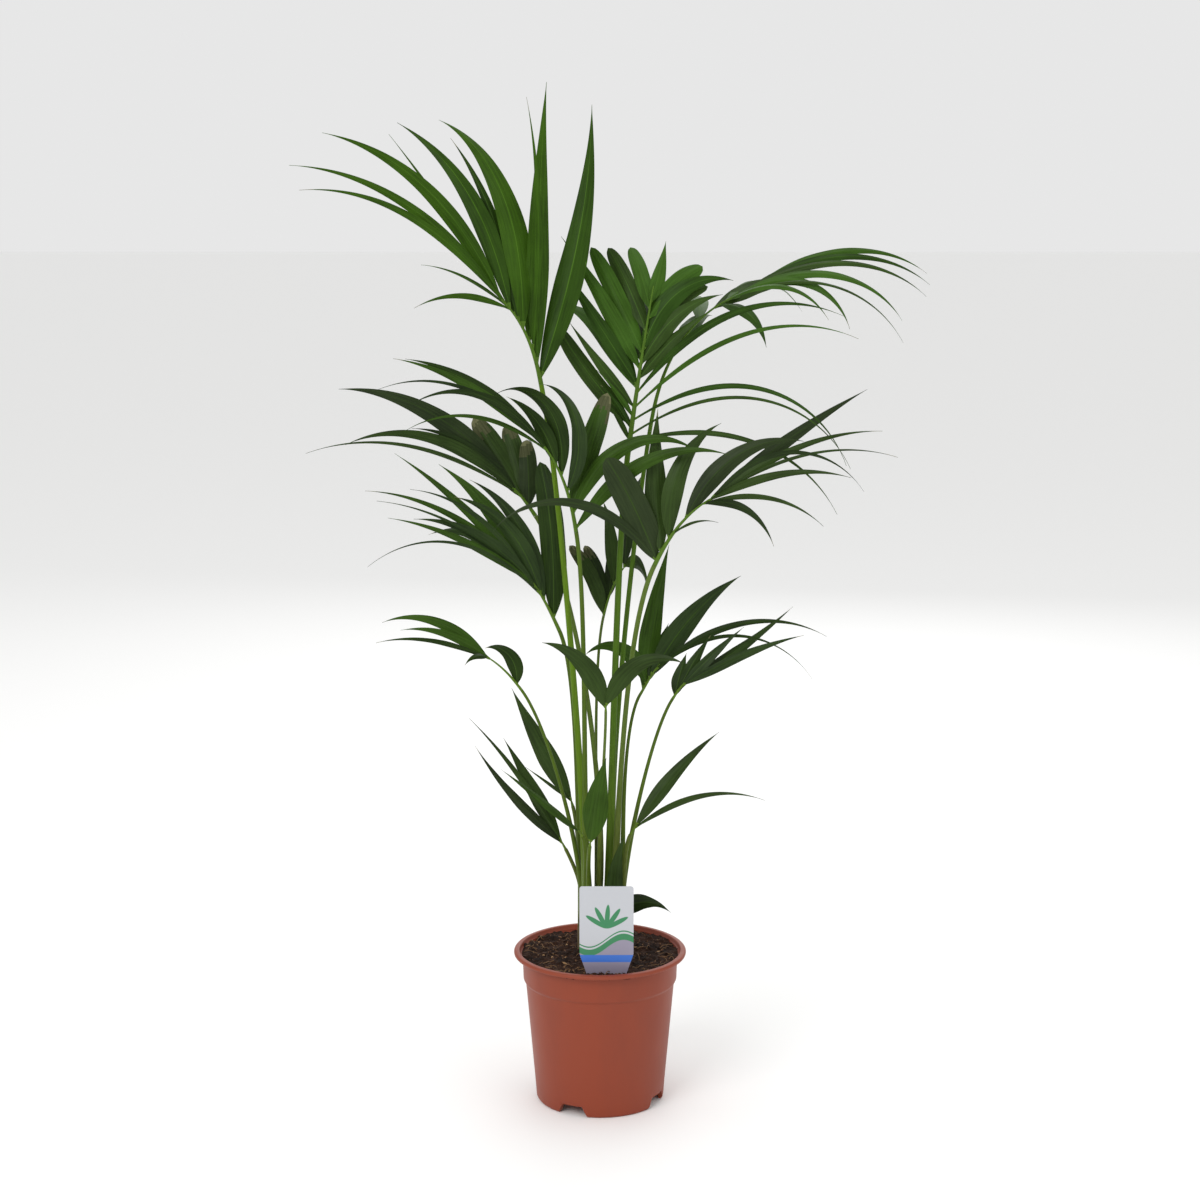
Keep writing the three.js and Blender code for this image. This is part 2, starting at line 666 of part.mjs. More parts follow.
// ---------------------------------------------------------------- the whole plant

addPiece('pot', potGeometry(), COLOURS.pot, 0.55);
addPiece('soil', soilGeometry(), COLOURS.soil, 1);
addPiece('care_label', labelGeometry(0), COLOURS.label, 0.4);

for (const [name, stem] of Object.entries(STEMS)) {
  addPiece(name, stemGeometry(stem), COLOURS.stem, 0.6);
}

for (const [name, frond] of Object.entries(FRONDS)) {
  addPiece(`petiole_${name}`, petioleGeometry(frond), COLOURS.petiole, 0.45);
  addPiece(`frond_${name}`, frondGeometry(frond), COLOURS.frond, 0.5);
}

export default palm;
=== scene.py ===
"""Looks of a potted kentia palm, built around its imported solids.

The plant is a clump: leaf sheaths wrap its stems, a bare stalk rises from each, and every stalk
ends in a frond whose leaflets stand in fans along a short rachis. The pot, the soil and the care
label are modelled as made things. Each piece is a surface worked out with numpy in millimetres,
in the frame of the solids, and turned to metres when it becomes a mesh.

A bearing is an angle in plan from +X towards +Y, a rise is an angle above the horizontal, and a
droop is how far the rise has fallen by the far end of a limb. All three are in degrees.
"""

from __future__ import annotations

import logging
import math
from dataclasses import dataclass
from enum import Enum
from typing import Any, Protocol, Sequence

import bpy
import numpy as np
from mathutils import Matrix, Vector

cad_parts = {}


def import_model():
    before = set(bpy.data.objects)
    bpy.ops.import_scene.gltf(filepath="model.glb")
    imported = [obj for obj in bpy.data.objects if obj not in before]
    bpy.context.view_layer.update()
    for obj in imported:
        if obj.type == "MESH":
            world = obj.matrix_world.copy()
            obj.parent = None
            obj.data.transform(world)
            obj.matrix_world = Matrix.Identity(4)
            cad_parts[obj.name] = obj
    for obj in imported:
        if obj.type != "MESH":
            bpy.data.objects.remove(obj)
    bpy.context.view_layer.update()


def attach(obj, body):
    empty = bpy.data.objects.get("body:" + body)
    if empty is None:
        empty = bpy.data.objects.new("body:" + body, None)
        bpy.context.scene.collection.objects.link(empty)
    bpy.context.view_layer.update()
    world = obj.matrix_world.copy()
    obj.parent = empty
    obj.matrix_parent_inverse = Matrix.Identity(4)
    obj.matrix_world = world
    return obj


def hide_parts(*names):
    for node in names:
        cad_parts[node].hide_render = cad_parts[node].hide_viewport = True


LOG = logging.getLogger("palm")

MM = 0.001  # metres in a millimetre
BODY = "root"
UV_NAME = "surface"
BEND_POWER = 1.5  # how late along its length a leaflet or rachis gives way
CHANNEL_SPREAD = 0.5  # how wide the dish along a stalk is, in radians squared

Pair = float | tuple[float, float]


# ------------------------------------------------------------------------------ plant in numbers


class Age(Enum):
    """How long a frond has been open, which sets its greens."""

    FRESH = "fresh"
    MIDDLE = "middle"
    MATURE = "mature"
    OLD = "old"


class Tip(Enum):
    """How a leaflet ends: in a fine point, round, or round with a faded, dried end."""

    FINE = 0
    ROUND = 1
    FADED = 2


@dataclass(frozen=True)
class Limb:
    """A limb that leaves its root at a bearing and a rise, and droops along its length."""

    length: float
    bearing: float
    rise: float
    droop: float


@dataclass(frozen=True)
class Fan:
    """Leaflets side by side on a rachis; a pair is the value at the first and the last of them.

    Attributes:
        count: How many leaflets.
        along: Where on the rachis they stand, as a share of its length.
        length: Their lengths.
        bearing: Their bearings at the root.
        rise: Their rises at the root.
        droop: Their droops.
        width: Their greatest widths.
        tip: How they end.
    """

    count: int
    along: Pair
    length: Pair
    bearing: Pair
    rise: Pair
    droop: Pair
    width: Pair
    tip: Tip = Tip.FINE


@dataclass(frozen=True)
class Frond:
    """One frond on its bare stalk, the petiole.

    Attributes:
        name: The frond's name.
        stem: The stem that it grows from.
        age: Its age.
        foot: Where on the stem's top its petiole stands, from the stem's centre.
        radii: The petiole's radii at its foot and at the crown point.
        lean: How much of its slant towards the crown the petiole already has at its foot.
        crown: The point where the petiole ends and the rachis begins.
        face: Bearing and rise of the direction that the leaflets' upper sides look towards.
        rachis: The rachis.
        fans: Its leaflets.
    """

    name: str
    stem: str
    age: Age
    foot: tuple[float, float]
    radii: tuple[float, float]
    lean: float
    crown: tuple[float, float, float]
    face: tuple[float, float]
    rachis: Limb
    fans: tuple[Fan, ...]


@dataclass(frozen=True)
class StemSize:
    """A stem's centre in plan, its half width and half depth, its wider foot and its height."""

    centre: tuple[float, float]
    half: tuple[float, float]
    flare: float
    height: float


STEMS: dict[str, StemSize] = {
    "stem_left": StemSize(centre=(-14.5, -11), half=(5.6, 15), flare=1.15, height=76),
    "stem_back_left": StemSize(centre=(-18.5, 19), half=(6.4, 11.4), flare=1.12, height=76),
    "stem_middle": StemSize(centre=(-2, 2), half=(4.6, 13), flare=1.2, height=76),
    "stem_right": StemSize(centre=(12.4, 3), half=(7.6, 15.5), flare=1.1, height=76),
    "stem_far_right": StemSize(centre=(25.6, -1), half=(4.4, 15), flare=1.15, height=76),
    "stem_front": StemSize(centre=(12, -27), half=(3.2, 3.2), flare=1.3, height=34),
}

# A rachis gives its length, bearing, rise and droop. A fan gives its count, then along, length,
# bearing, rise, droop and width, and a tip that isn't fine.
FRONDS: tuple[Frond, ...] = (
    Frond(
        "high_left", "stem_left", Age.FRESH, foot=(0, 9.4), radii=(4, 2.6), lean=0.5,
        crown=(-62, -10, 793), face=(278, 22), rachis=Limb(103, 190, 79, 37),
        fans=(
            Fan(2, (0.06, 0.2), (292, 293), (30, 60), (69, 89), (-21, 8), (30, 24)),
            Fan(1, 0.35, 266, 120, 101, 34, 8),
            Fan(2, (0.6, 0.68), (266, 210), (139, 148), (90, 78), (73, 30), (29, 13)),
            Fan(2, (0.84, 0.97), (235, 260), (164, 193), (77, 64), (49, 53), (22, 18)),
            Fan(2, (0.95, 0.9), (275, 279), (205, 217), (51, 46), (49, 50), (11, 9)),
            Fan(2, (0.9, 0.88), (213, 108), (175, 159), (58, 36), (7, 33), (6, 4)),
            Fan(1, 0.84, 131, 225, 20, 44, 7),
            Fan(2, (0.45, 0.75), (220, 190), (84, 104), (60, 56), 60, (24, 20)),
        ),
    ),
    Frond(
        "high_middle", "stem_right", Age.MIDDLE, foot=(-1.6, 0.6), radii=(4.4, 3), lean=0.4,
        crown=(31, 25, 724), face=(262, 24), rachis=Limb(172, 10, 82, 2),
        fans=(
            Fan(3, (0.03, 0.18), (52, 64), 178, (66, 60), 20, (6, 7)),
            Fan(1, 0.13, 132, 170, 47, -13, 19, Tip.ROUND),
            Fan(1, 0.24, 116, 176, 51, -4, 12),
            Fan(2, (0.38, 0.48), (152, 165), (172, 165), (57, 62), (0, 10), (17, 18)),
            Fan(3, (0.58, 0.86), (128, 86), (150, 109), (63, 56), (7, 22), (19, 17), Tip.ROUND),
            Fan(1, 0.9, 74, 64, 50, -22, 16),
            Fan(2, (0.8, 0.7), (84, 86), (20, 12), (54, 52), (34, 40), (23, 16), Tip.ROUND),
            Fan(3, (0.6, 0.42), (135, 103), (5, -5), (72, 52), (88, 20), (24, 16)),
            Fan(2, (0.33, 0.24), (281, 305), -36, (47, 40), (68, 58), (9, 6)),
            Fan(2, (0.16, 0.07), (287, 285), (-27, -25), (31, 32), (99, 95), (6, 4)),
            Fan(1, 0.03, 262, -23, 14, 76, 6),
            Fan(3, (0.36, 0.7), (196, 150), (122, 78), (46, 40), (52, 60), (24, 22)),
        ),
    ),
    Frond(
        "high_right", "stem_right", Age.MIDDLE, foot=(0.2, 10.2), radii=(3.4, 2.3), lean=-0.3,
        crown=(54, 58, 736), face=(276, 44), rachis=Limb(193, -3, 81, 64),
        fans=(
            Fan(3, (1, 0.92), (216, 222), (8, -8), (33, 30), (70, 74), (11, 10)),
            Fan(2, 0.92, (206, 166), (-19, -33), 27, (85, 98), (12, 11)),
            Fan(2, 0.9, (231, 145), (-35, -43), (21, 23), (80, 77), (5, 8)),
            Fan(1, 0.84, 95, -54, 1, 75, 15),
            Fan(2, (0.8, 0.5), (150, 130), (40, 70), (24, 28), (44, 40), 20),
            Fan(3, (0.88, 0.5), (206, 176), (62, 112), (16, 26), (56, 60), (20, 22)),
        ),
    ),
    Frond(
        "upper_left", "stem_left", Age.MATURE, foot=(0.2, 1.6), radii=(3.2, 2.3), lean=1.2,
        crown=(-25, -40, 640), face=(258, 26), rachis=Limb(124, 190, 81, 40),
        fans=(
            Fan(1, 0.2, 130, 45, 69, 7, 25, Tip.FADED),
            Fan(2, (0.36, 0.5), (139, 163), (141, 213), (119, 95), (116, 139), (19, 21)),
            Fan(2, (0.6, 0.75), (93, 211), (190, 224), (75, 46), (52, 74), (17, 10)),
            Fan(2, (0.9, 0.85), (163, 184), (190, 200), (47, 43), (39, 33), (13, 11)),
            Fan(2, (0.8, 0.75), (237, 176), (222, 210), (41, 35), (58, 64), 5),
            Fan(2, (0.16, 0.03), (173, 200), (-9, -16), (69, 55), (106, 72), (18, 17)),
        ),
    ),
    Frond(
        "outer_left", "stem_middle", Age.OLD, foot=(1.2, 0.6), radii=(2.9, 2.4), lean=-0.4,
        crown=(-70, 40, 646), face=(275, 26), rachis=Limb(42, 176, 56, 12),
        fans=(
            Fan(1, 0.9, 225, 180, 51, 53, 24),
            Fan(3, (0.6, 0.3), (101, 72), (160, 110), (61, 92), (12, 20), (25, 20), Tip.FADED),
            Fan(2, (0.8, 0.7), (206, 254), (193, 205), (44, 33), (69, 50), (14, 5)),
            Fan(1, 0.8, 137, 187, 52, 51, 11),
            Fan(3, (0.9, 0.5), (170, 160), (130, 90), (38, 44), (62, 66), (24, 22)),
        ),
    ),
    Frond(
        "mid_left", "stem_back_left", Age.MATURE, foot=(-0.6, 0.8), radii=(2.8, 2.2), lean=1.1,
        crown=(-44, 10, 525), face=(262, 22), rachis=Limb(74, 182, 66, 14),
        fans=(
            Fan(1, 0.2, 171, 125, 92, 27, 28, Tip.ROUND),
            Fan(2, (0.5, 0.78), (161, 168), (155, 162), (78, 62), (57, 31), (18, 21)),
            Fan(2, (0.6, 0.7), (149, 162), (185, 195), (74, 51), (62, 50), (19, 15)),
            Fan(2, (0.9, 0.92), (199, 206), (168, 193), (48, 46), (17, 42), (11, 8)),
            Fan(2, 0.9, (171, 194), (197, 200), (58, 42), (51, 34), (6, 4)),
            Fan(2, (0.8, 0.6), (187, 246), (205, 219), (36, 42), (25, 72), (9, 4)),
            Fan(3, (0.9, 0.5), (160, 170), (140, 105), (36, 40), (60, 70), (18, 20)),
        ),
    ),
    Frond(
        "low_outer_left", "stem_back_left", Age.MATURE, foot=(-2.6, -7), radii=(2.3, 1.6), lean=0.4,
        crown=(-84, -30, 468), face=(264, 34), rachis=Limb(54, 188, 54, 23),
        fans=(
            Fan(2, (0.95, 0.9), (126, 105), (179, 194), (46, 39), (69, 47), (12, 10)),
            Fan(2, (0.9, 0.95), (142, 42), (212, 235), (26, 21), (32, 60), (6, 7)),
            Fan(1, 0.15, 62, 167, 93, 117, 17),
        ),
    ),
    Frond(
        "blade_left", "stem_back_left", Age.OLD, foot=(-3.3, 5.6), radii=(2.1, 1.8), lean=0,
        crown=(-30, 21, 326), face=(256, 20), rachis=Limb(8, 165, 74, 0),
        fans=(
            Fan(2, 0.8, (140, 64), (162, 190), (59, 39), (-4, 2), (23, 4)),
        ),
    ),
    Frond(
        "foot_left", "stem_back_left", Age.OLD, foot=(-4.6, -1.8), radii=(1.5, 1.5), lean=0.6,
        crown=(-38, 15, 279), face=(268, 34), rachis=Limb(12, 176, 62, 0),
        fans=(
            Fan(2, (0.9, 0.8), (129, 171), (166, 180), (61, 60), (3, 15), (17, 7)),
            Fan(1, 0.6, 154, 200, 44, -15, 12),
        ),
    ),
    Frond(
        "strap_left", "stem_left", Age.MATURE, foot=(-1.4, -4.6), radii=(2.3, 1.8), lean=0,
        crown=(-19, -30, 306), face=(290, 40), rachis=Limb(8, 222, 58, 0),
        fans=(
            Fan(1, 0.8, 141, 222, 40, 3, 11),
        ),
    ),
    Frond(
        "blade_front", "stem_left", Age.MATURE, foot=(1.8, -9.4), radii=(2.1, 1.7), lean=0,
        crown=(-11, -62, 304), face=(252, 16), rachis=Limb(6, 300, 76, 0),
        fans=(
            Fan(1, 0.8, 97, -24, 82, 8, 28),
        ),
    ),
    Frond(
        "young_front", "stem_front", Age.OLD, foot=(0, 0), radii=(2.4, 1.9), lean=0,
        crown=(14, -30, 212), face=(268, 26), rachis=Limb(6, 0, 70, 0),
        fans=(
            Fan(2, 0.8, (93, 84), (-20, -38), (92, 42), (23, 72), (18, 20)),
        ),
    ),
    Frond(
        "foot_right", "stem_far_right", Age.OLD, foot=(0.2, -10.2), radii=(2.3, 1.8), lean=0,
        crown=(33, -24, 306), face=(282, 30), rachis=Limb(12, 5, 62, 6),
        fans=(
            Fan(2, (0.95, 0.7), (137, 181), (18, -35), (54, 37), (21, 45), (16, 7)),
        ),
    ),
    Frond(
        "low_right", "stem_far_right", Age.MATURE, foot=(-0.4, -3.4), radii=(2.5, 1.7), lean=0.5,
        crown=(78, -16, 455), face=(268, 36), rachis=Limb(22, -8, 58, 8),
        fans=(
            Fan(2, (0.9, 0.85), (146, 169), (12, -36), (29, 31), (-11, 14), (13, 12)),
            Fan(3, (0.7, 0.2), (94, 48), (8, 50), (46, 70), (7, 12), (12, 15)),
        ),
    ),
    Frond(
        "mid_right", "stem_far_right", Age.MATURE, foot=(-0.6, 5), radii=(2.4, 1.7), lean=0,
        crown=(44, 45, 446), face=(286, 24), rachis=Limb(35, 2, 60, 1),
        fans=(
            Fan(2, (0.2, 0.7), (166, 150), (60, 2), (76, 61), (21, 31), (24, 26)),
            Fan(2, (0.4, 0.5), (94, 74), (187, 60), (74, 56), (121, 13), (18, 15)),
            Fan(2, (1, 0.9), (205, 216), (-12, -31), 40, (68, 93), (8, 5)),
            Fan(2, (0.6, 0.9), (110, 100), (85, 60), (62, 50), 40, 16),
        ),
    ),
    Frond(
        "front", "stem_middle", Age.OLD, foot=(0.4, -8), radii=(2, 1.5), lean=0,
        crown=(6, -85, 456), face=(270, 30), rachis=Limb(8, 270, 82, 0),
        fans=(
            Fan(2, (0.6, 0.9), (104, 112), (187, -19), (73, 67), (66, 92), (22, 20)),
        ),
    ),
    Frond(
        "back", "stem_middle", Age.OLD, foot=(-1.4, 8), radii=(2, 1.5), lean=0,
        crown=(4, 75, 529), face=(266, 22), rachis=Limb(62, 14, 76, 26),
        fans=(
            Fan(3, (0.02, 0.35), (87, 63), (170, 80), (77, 62), (35, 24), (16, 14), Tip.FADED),
            Fan(1, 0.97, 82, -64, 30, 163, 17),
            Fan(2, (0.6, 0.95), (110, 130), (100, 75), (72, 70), 50, 16),
        ),
    ),
    Frond(
        "upper_right", "stem_right", Age.OLD, foot=(3.6, -9), radii=(3.1, 2.5), lean=0.4,
        crown=(57, -65, 609), face=(272, 26), rachis=Limb(98, -4, 64, 37),
        fans=(
            Fan(1, 0.05, 121, 187, 69, 13, 32, Tip.ROUND),
            Fan(2, (0.15, 0.32), (152, 143), (110, 30), (74, 91), (-30, 72), (25, 22)),
            Fan(1, 0.6, 158, -2, 63, 74, 21),
            Fan(2, (1, 0.98), (200, 190), (16, -2), 37, (12, 38), (15, 8)),
            Fan(2, 0.95, (205, 208), (-13, -37), (34, 45), (50, 97), (4, 6)),
            Fan(2, (0.9, 0.85), (163, 154), (-24, -38), (28, 17), (41, 53), (9, 6)),
            Fan(2, (0.85, 0.4), (117, 70), (-48, -50), (12, 30), (75, 37), (9, 3)),
            Fan(1, 0.05, 203, 189, 52, 103, 12),
        ),
    ),
)

SOIL_LEVEL = 164.0
SEAT = 0.3  # gap between solids that rest on each other
PETIOLE_FOOT_HANDLE = 0.3  # how far a stalk keeps upright, as a share of its reach
PETIOLE_CROWN_HANDLE = 0.18  # how far it already runs along the rachis


# ------------------------------------------------------------------------------ surfaces


@dataclass
class Surface:
    """A mesh in the making.

    Attributes:
        points: Vertices in millimetres, n by 3.
        faces: Vertex indices of each face, turning anticlockwise seen from outside.
        finish: The number of each face's finish among those of its piece.
        uv: Pattern coordinates of each vertex in millimetres, n by 2.
    """

    points: np.ndarray
    faces: list[list[int]]
    finish: np.ndarray
    uv: np.ndarray


def join(surfaces: Sequence[Surface]) -> Surface:
    """Puts surfaces together into one, with their indices moved on.

    Args:
        surfaces: The surfaces to join.

    Returns:
        One surface that holds them all.
    """
    starts = np.cumsum([0] + [len(surface.points) for surface in surfaces])
    faces = [
        [index + int(start) for index in face]
        for start, surface in zip(starts, surfaces)
        for face in surface.faces
    ]
    return Surface(
        points=np.concatenate([surface.points for surface in surfaces]),
        faces=faces,
        finish=np.concatenate([surface.finish for surface in surfaces]),
        uv=np.concatenate([surface.uv for surface in surfaces]),
    )


def wrapped_quads(rows: int, columns: int) -> np.ndarray:
    """Quads of a grid of points whose last column joins its first.

    Args:
        rows: Rows of points.
        columns: Points in a row.

    Returns:
        Vertex indices, quads by 4, row by row.
    """
    row, column = np.meshgrid(np.arange(rows - 1), np.arange(columns), indexing="ij")
    here, above, after = row * columns, (row + 1) * columns, (column + 1) % columns
    corners = [here + column, here + after, above + after, above + column]
    return np.stack(corners, axis=-1).reshape(-1, 4)


def loft(rings: np.ndarray, uv: np.ndarray | None = None, finish: np.ndarray | int = 0) -> Surface:
    """Skins closed rings into a closed body: point (i, j) is point j of ring i.

    Quads join each ring to the next, wrapping from the last point to the first, and each end ring
    is closed by one flat face. Rings turn anticlockwise seen from the far end.

    Args:
        rings: Points, rings by points on a ring by 3.
        uv: Pattern coordinates, rings by points by 2, or None for zeros.
        finish: One finish, or a finish for each quad, rings less one by points.

    Returns:
        The body's surface.
    """
    count, around = rings.shape[:2]
    quad_finish = np.broadcast_to(np.asarray(finish), (count - 1, around)).ravel()
    first = list(range(around - 1, -1, -1))
    last = list(range((count - 1) * around, count * around))
    ends = [quad_finish[0], quad_finish[-1]]
    return Surface(
        points=rings.reshape(-1, 3),
        faces=wrapped_quads(count, around).tolist() + [first, last],
        finish=np.concatenate([quad_finish, ends]).astype(int),
        uv=np.zeros((count * around, 2)) if uv is None else uv.reshape(-1, 2),
    )


def revolve(radius: np.ndarray, height: np.ndarray) -> Surface:
    """Closes a turned body: row i, column j is the profile's point i at the j-th bearing.

    x = radius cos(bearing), y = radius sin(bearing), z = height. The first and last rows lie on
    the axis and shrink to one point each.

    Args:
        radius: Radii, profile points by bearings.
        height: Heights, the same shape.

    Returns:
        The body's surface, with uv = (arc length, height).
    """
    rows, columns = radius.shape
    bearing = np.linspace(0, 2 * np.pi, columns, endpoint=False)
    grid = np.stack([radius * np.cos(bearing), radius * np.sin(bearing), height], axis=-1)
    inner = grid[1:-1].reshape(-1, 3)
    poles = np.array([[0, 0, height[0].mean()], [0, 0, height[-1].mean()]])
    quads = wrapped_quads(rows - 2, columns)
    start, end = len(inner), len(inner) + 1
    around = np.arange(columns)
    following = (around + 1) % columns
    last_row = (rows - 3) * columns
    bottom = np.stack([np.full(columns, start), following, around], axis=-1)
    top = np.stack([np.full(columns, end), last_row + around, last_row + following], axis=-1)
    points = np.concatenate([inner, poles])
    arc = np.append(np.tile(bearing, rows - 2) * radius.max(), [0, 0])
    return Surface(
        points=points,
        faces=quads.tolist() + bottom.tolist() + top.tolist(),
        finish=np.zeros(len(quads) + 2 * columns, int),
        uv=np.stack([arc, points[:, 2]], axis=-1),
    )


def make_piece(
    name: str,
    surface: Surface,
    finishes: Sequence[Finish],
    node: str = "",
    sharp: float = 40.0,
) -> bpy.types.Object:
    """Turns a surface into an object that rides on the plant.

    Args:
        name: The piece's name.
        surface: Its surface in millimetres.
        finishes: The finishes that its faces' numbers stand for.
        node: The node that it stands for, if any.
        sharp: Edges that turn by more degrees than this stay sharp.

    Returns:
        The object.
    """
    mesh = bpy.data.meshes.new(name)
    mesh.from_pydata((surface.points * MM).tolist(), [], surface.faces)
    for finish in finishes:
        mesh.materials.append(finish.material())
    mesh.polygons.foreach_set("material_index", surface.finish)
    mesh.polygons.foreach_set("use_smooth", np.ones(len(mesh.polygons), bool))
    corners = np.empty(len(mesh.loops), int)
    mesh.loops.foreach_get("vertex_index", corners)
    layer = mesh.uv_layers.new(name=UV_NAME)
    layer.data.foreach_set("uv", surface.uv[corners].ravel())
    mesh.set_sharp_from_angle(angle=math.radians(sharp))
    mesh.update()
    piece = bpy.data.objects.new(name, mesh)
    bpy.context.collection.objects.link(piece)
    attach(piece, BODY)
    if node:
        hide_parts(node)
    return piece


def lattice_noise(x: np.ndarray, y: np.ndarray, cell: float, seed: int) -> np.ndarray:
    """Smooth random heights from -1 to 1 over a plane.

    Random values stand on a square lattice and are blended between its corners by the smoothstep
    curve 3t² - 2t³ along each axis.

    Args:
        x: Places along X.
        y: Places along Y.
        cell: Distance between lattice points, in the unit of x and y.
        seed: Seed of the random values.

    Returns:
        The heights, in the shape of x.
    """
    period = 128
    table = np.random.default_rng(seed).uniform(-1, 1, (period, period))
    column, row = np.floor(x / cell).astype(int), np.floor(y / cell).astype(int)
    across, up = x / cell - column, y / cell - row
    across, up = across * across * (3 - 2 * across), up * up * (3 - 2 * up)
    column, row = column % period, row % period
    right, above = (column + 1) % period, (row + 1) % period
    low = table[column, row] * (1 - across) + table[right, row] * across
    high = table[column, above] * (1 - across) + table[right, above] * across
    return low * (1 - up) + high * up


def rounded(corners: Sequence[tuple[float, float, float]], steps: int = 5) -> np.ndarray:
    """Rounds the corners of a profile.

    Each corner with a radius becomes a quadratic curve between the points that lie the radius
    away from it along its two sides: (1-t)² before + 2t(1-t) corner + t² after.

    Args:
        corners: (radius from the axis, height, rounding) of each corner.
        steps: Points on each rounded corner.

    Returns:
        The profile's points, n by 2.
    """
    points = np.array([corner[:2] for corner in corners])
    parts = [points[:1]]
    share = np.linspace(0, 1, steps)[:, None]
    for before, corner, after, size in zip(
        points[:-2], points[1:-1], points[2:], [corner[2] for corner in corners[1:-1]]
    ):
        if size == 0:
            parts.append(corner[None])
            continue
        back = corner + (before - corner) * size / np.linalg.norm(before - corner)
        on = corner + (after - corner) * size / np.linalg.norm(after - corner)
        parts.append((1 - share) ** 2 * back + 2 * share * (1 - share) * corner + share**2 * on)
    return np.concatenate(parts + [points[-1:]])


# ------------------------------------------------------------------------------ finishes


def linear(colour: int) -> tuple[float, float, float, float]:
    """Turns an sRGB hex colour into linear red, green, blue and alpha.

    Args:
        colour: The colour as 0xRRGGBB.

    Returns:
        Linear values, with alpha 1.
    """
    channels = [((colour >> shift) & 255) / 255 for shift in (16, 8, 0)]
    red, green, blue = [
        value / 12.92 if value <= 0.04045 else ((value + 0.055) / 1.055) ** 2.4
        for value in channels
    ]
    return red, green, blue, 1.0


class Canvas:
    """A material in the making, with the coordinates that its patterns are laid out on.

    Attributes:
        material: The material.
        place: The place in the plant's frame, in metres.
        surface: The place on the piece's own UV map, in millimetres.
    """

    def __init__(self, name: str) -> None:
        """Starts an empty material.

        Args:
            name: The material's name.
        """
        self.material = bpy.data.materials.new(name)
        self.material.use_nodes = True
        self.material.node_tree.nodes.clear()
        coordinates = self.add("TexCoord").outputs
        self.place, self.surface = coordinates["Object"], coordinates["UV"]

    def add(self, kind: str, inputs: dict[Any, Any] | None = None, **settings: Any) -> bpy.types.Node:
        """Adds a shader node with its settings and links.

        Args:
            kind: Blender's name for the node type, without the ShaderNode in front.
            inputs: For each input, by name or number, a value, a socket to link to it, or a node
                whose first output is linked to it.
            **settings: The node's own properties.

        Returns:
            The node.
        """
        node = self.material.node_tree.nodes.new(f"ShaderNode{kind}")
        for name, value in settings.items():
            setattr(node, name, value)
        for key, value in (inputs or {}).items():
            source = value.outputs[0] if isinstance(value, bpy.types.Node) else value
            if isinstance(source, bpy.types.NodeSocket):
                self.material.node_tree.links.new(source, node.inputs[key])
            else:
                node.inputs[key].default_value = source
        return node


MIX_A, MIX_B, MIX_COLOUR = 6, 7, 2  # sockets of a colour Mix node


@dataclass(frozen=True)
class Finish:
    """A finish, which makes its material once.

    Attributes:
        name: The real material's name.
    """

    name: str

    def material(self) -> bpy.types.Material:
        """Makes the finish's material at its first use.

        Returns:
            The material.
        """
        made = bpy.data.materials.get(self.name)
        if made is None:
            canvas = Canvas(self.name)
            shader = canvas.add("BsdfPrincipled", self.shade(canvas))
            canvas.add("OutputMaterial", {"Surface": shader})
            made = canvas.material
        return made

    def shade(self, canvas: Canvas) -> dict[str, Any]:
        """Lays the finish out on a canvas and returns the shader's inputs."""
        raise NotImplementedError


@dataclass(frozen=True)
class TwoTone(Finish):
    """A finish whose second colour is mixed into the first by a pattern that stands in relief.

    Attributes:
        colour: The first colour.
        second: The second colour.
        roughness: How dull it is.
        gloss: How strongly it mirrors the room.
        relief: Height of the relief in millimetres.
        strength: How much of the relief shows.
    """

    colour: int
    second: int
    roughness: float = 0.42
    gloss: float = 0.5
    relief: float = 0.4
    strength: float = 0.6

    def pattern(self, canvas: Canvas) -> tuple[Any, Any, Any]:
        """Returns the second colour's share, the relief and the roughness."""
        raise NotImplementedError

    def ground(self, canvas: Canvas) -> Any:
        """Returns what the second colour is mixed into."""
        return linear(self.colour)

    def shade(self, canvas: Canvas) -> dict[str, Any]:
        """Mixes the colours and raises the relief by the finish's pattern.

        Args:
            canvas: The material in the making.

        Returns:
            The shader's inputs.
        """
        share, height, roughness = self.pattern(canvas)
        colours = {0: share, MIX_A: self.ground(canvas), MIX_B: linear(self.second)}
        mixed = canvas.add("Mix", colours, data_type="RGBA")
        relief = canvas.add(
            "Bump", {"Height": height, "Strength": self.strength, "Distance": self.relief * MM}
        )
        return {
            "Base Color": mixed.outputs[MIX_COLOUR], "Roughness": roughness,
            "Specular IOR Level": self.gloss, "Normal": relief,
        }


@dataclass(frozen=True)
class LeafBlade(TwoTone):
    """Leaf tissue under a waxy cuticle: satin above and dull below, veined along the blade.

    Attributes:
        vein: Spacing of the veins in millimetres, drawn coarse enough to show.
        vein_run: How far along the blade a vein keeps its tone, in millimetres.
        drift: Size of the broad changes of green, in millimetres.
    """

    gloss: float = 0.08
    vein: float = 1.8
    vein_run: float = 50.0
    drift: float = 45.5

    def pattern(self, canvas: Canvas) -> tuple[Any, Any, Any]:
        """Veins in relief, whose tone is carried from one green to the other by a broad drift.

        Args:
            canvas: The material in the making.

        Returns:
            The second colour's share, the relief and the roughness.
        """
        spacing = (1 / self.vein, 1 / self.vein_run, 1)
        along = canvas.add("Mapping", {"Vector": canvas.surface, "Scale": spacing})
        veins = canvas.add(
            "TexNoise", {"Vector": along, "Scale": 1.0, "Detail": 2.0, "Roughness": 0.6}
        )
        drift = canvas.add(
            "TexNoise", {"Vector": canvas.place, "Scale": 1 / (self.drift * MM), "Detail": 3.0}
        )
        both = canvas.add("Math", {0: drift, 1: veins}, operation="MULTIPLY")
        share = canvas.add("MapRange", {"Value": both, "From Min": 0.17, "From Max": 0.36})
        return share, veins, self.roughness


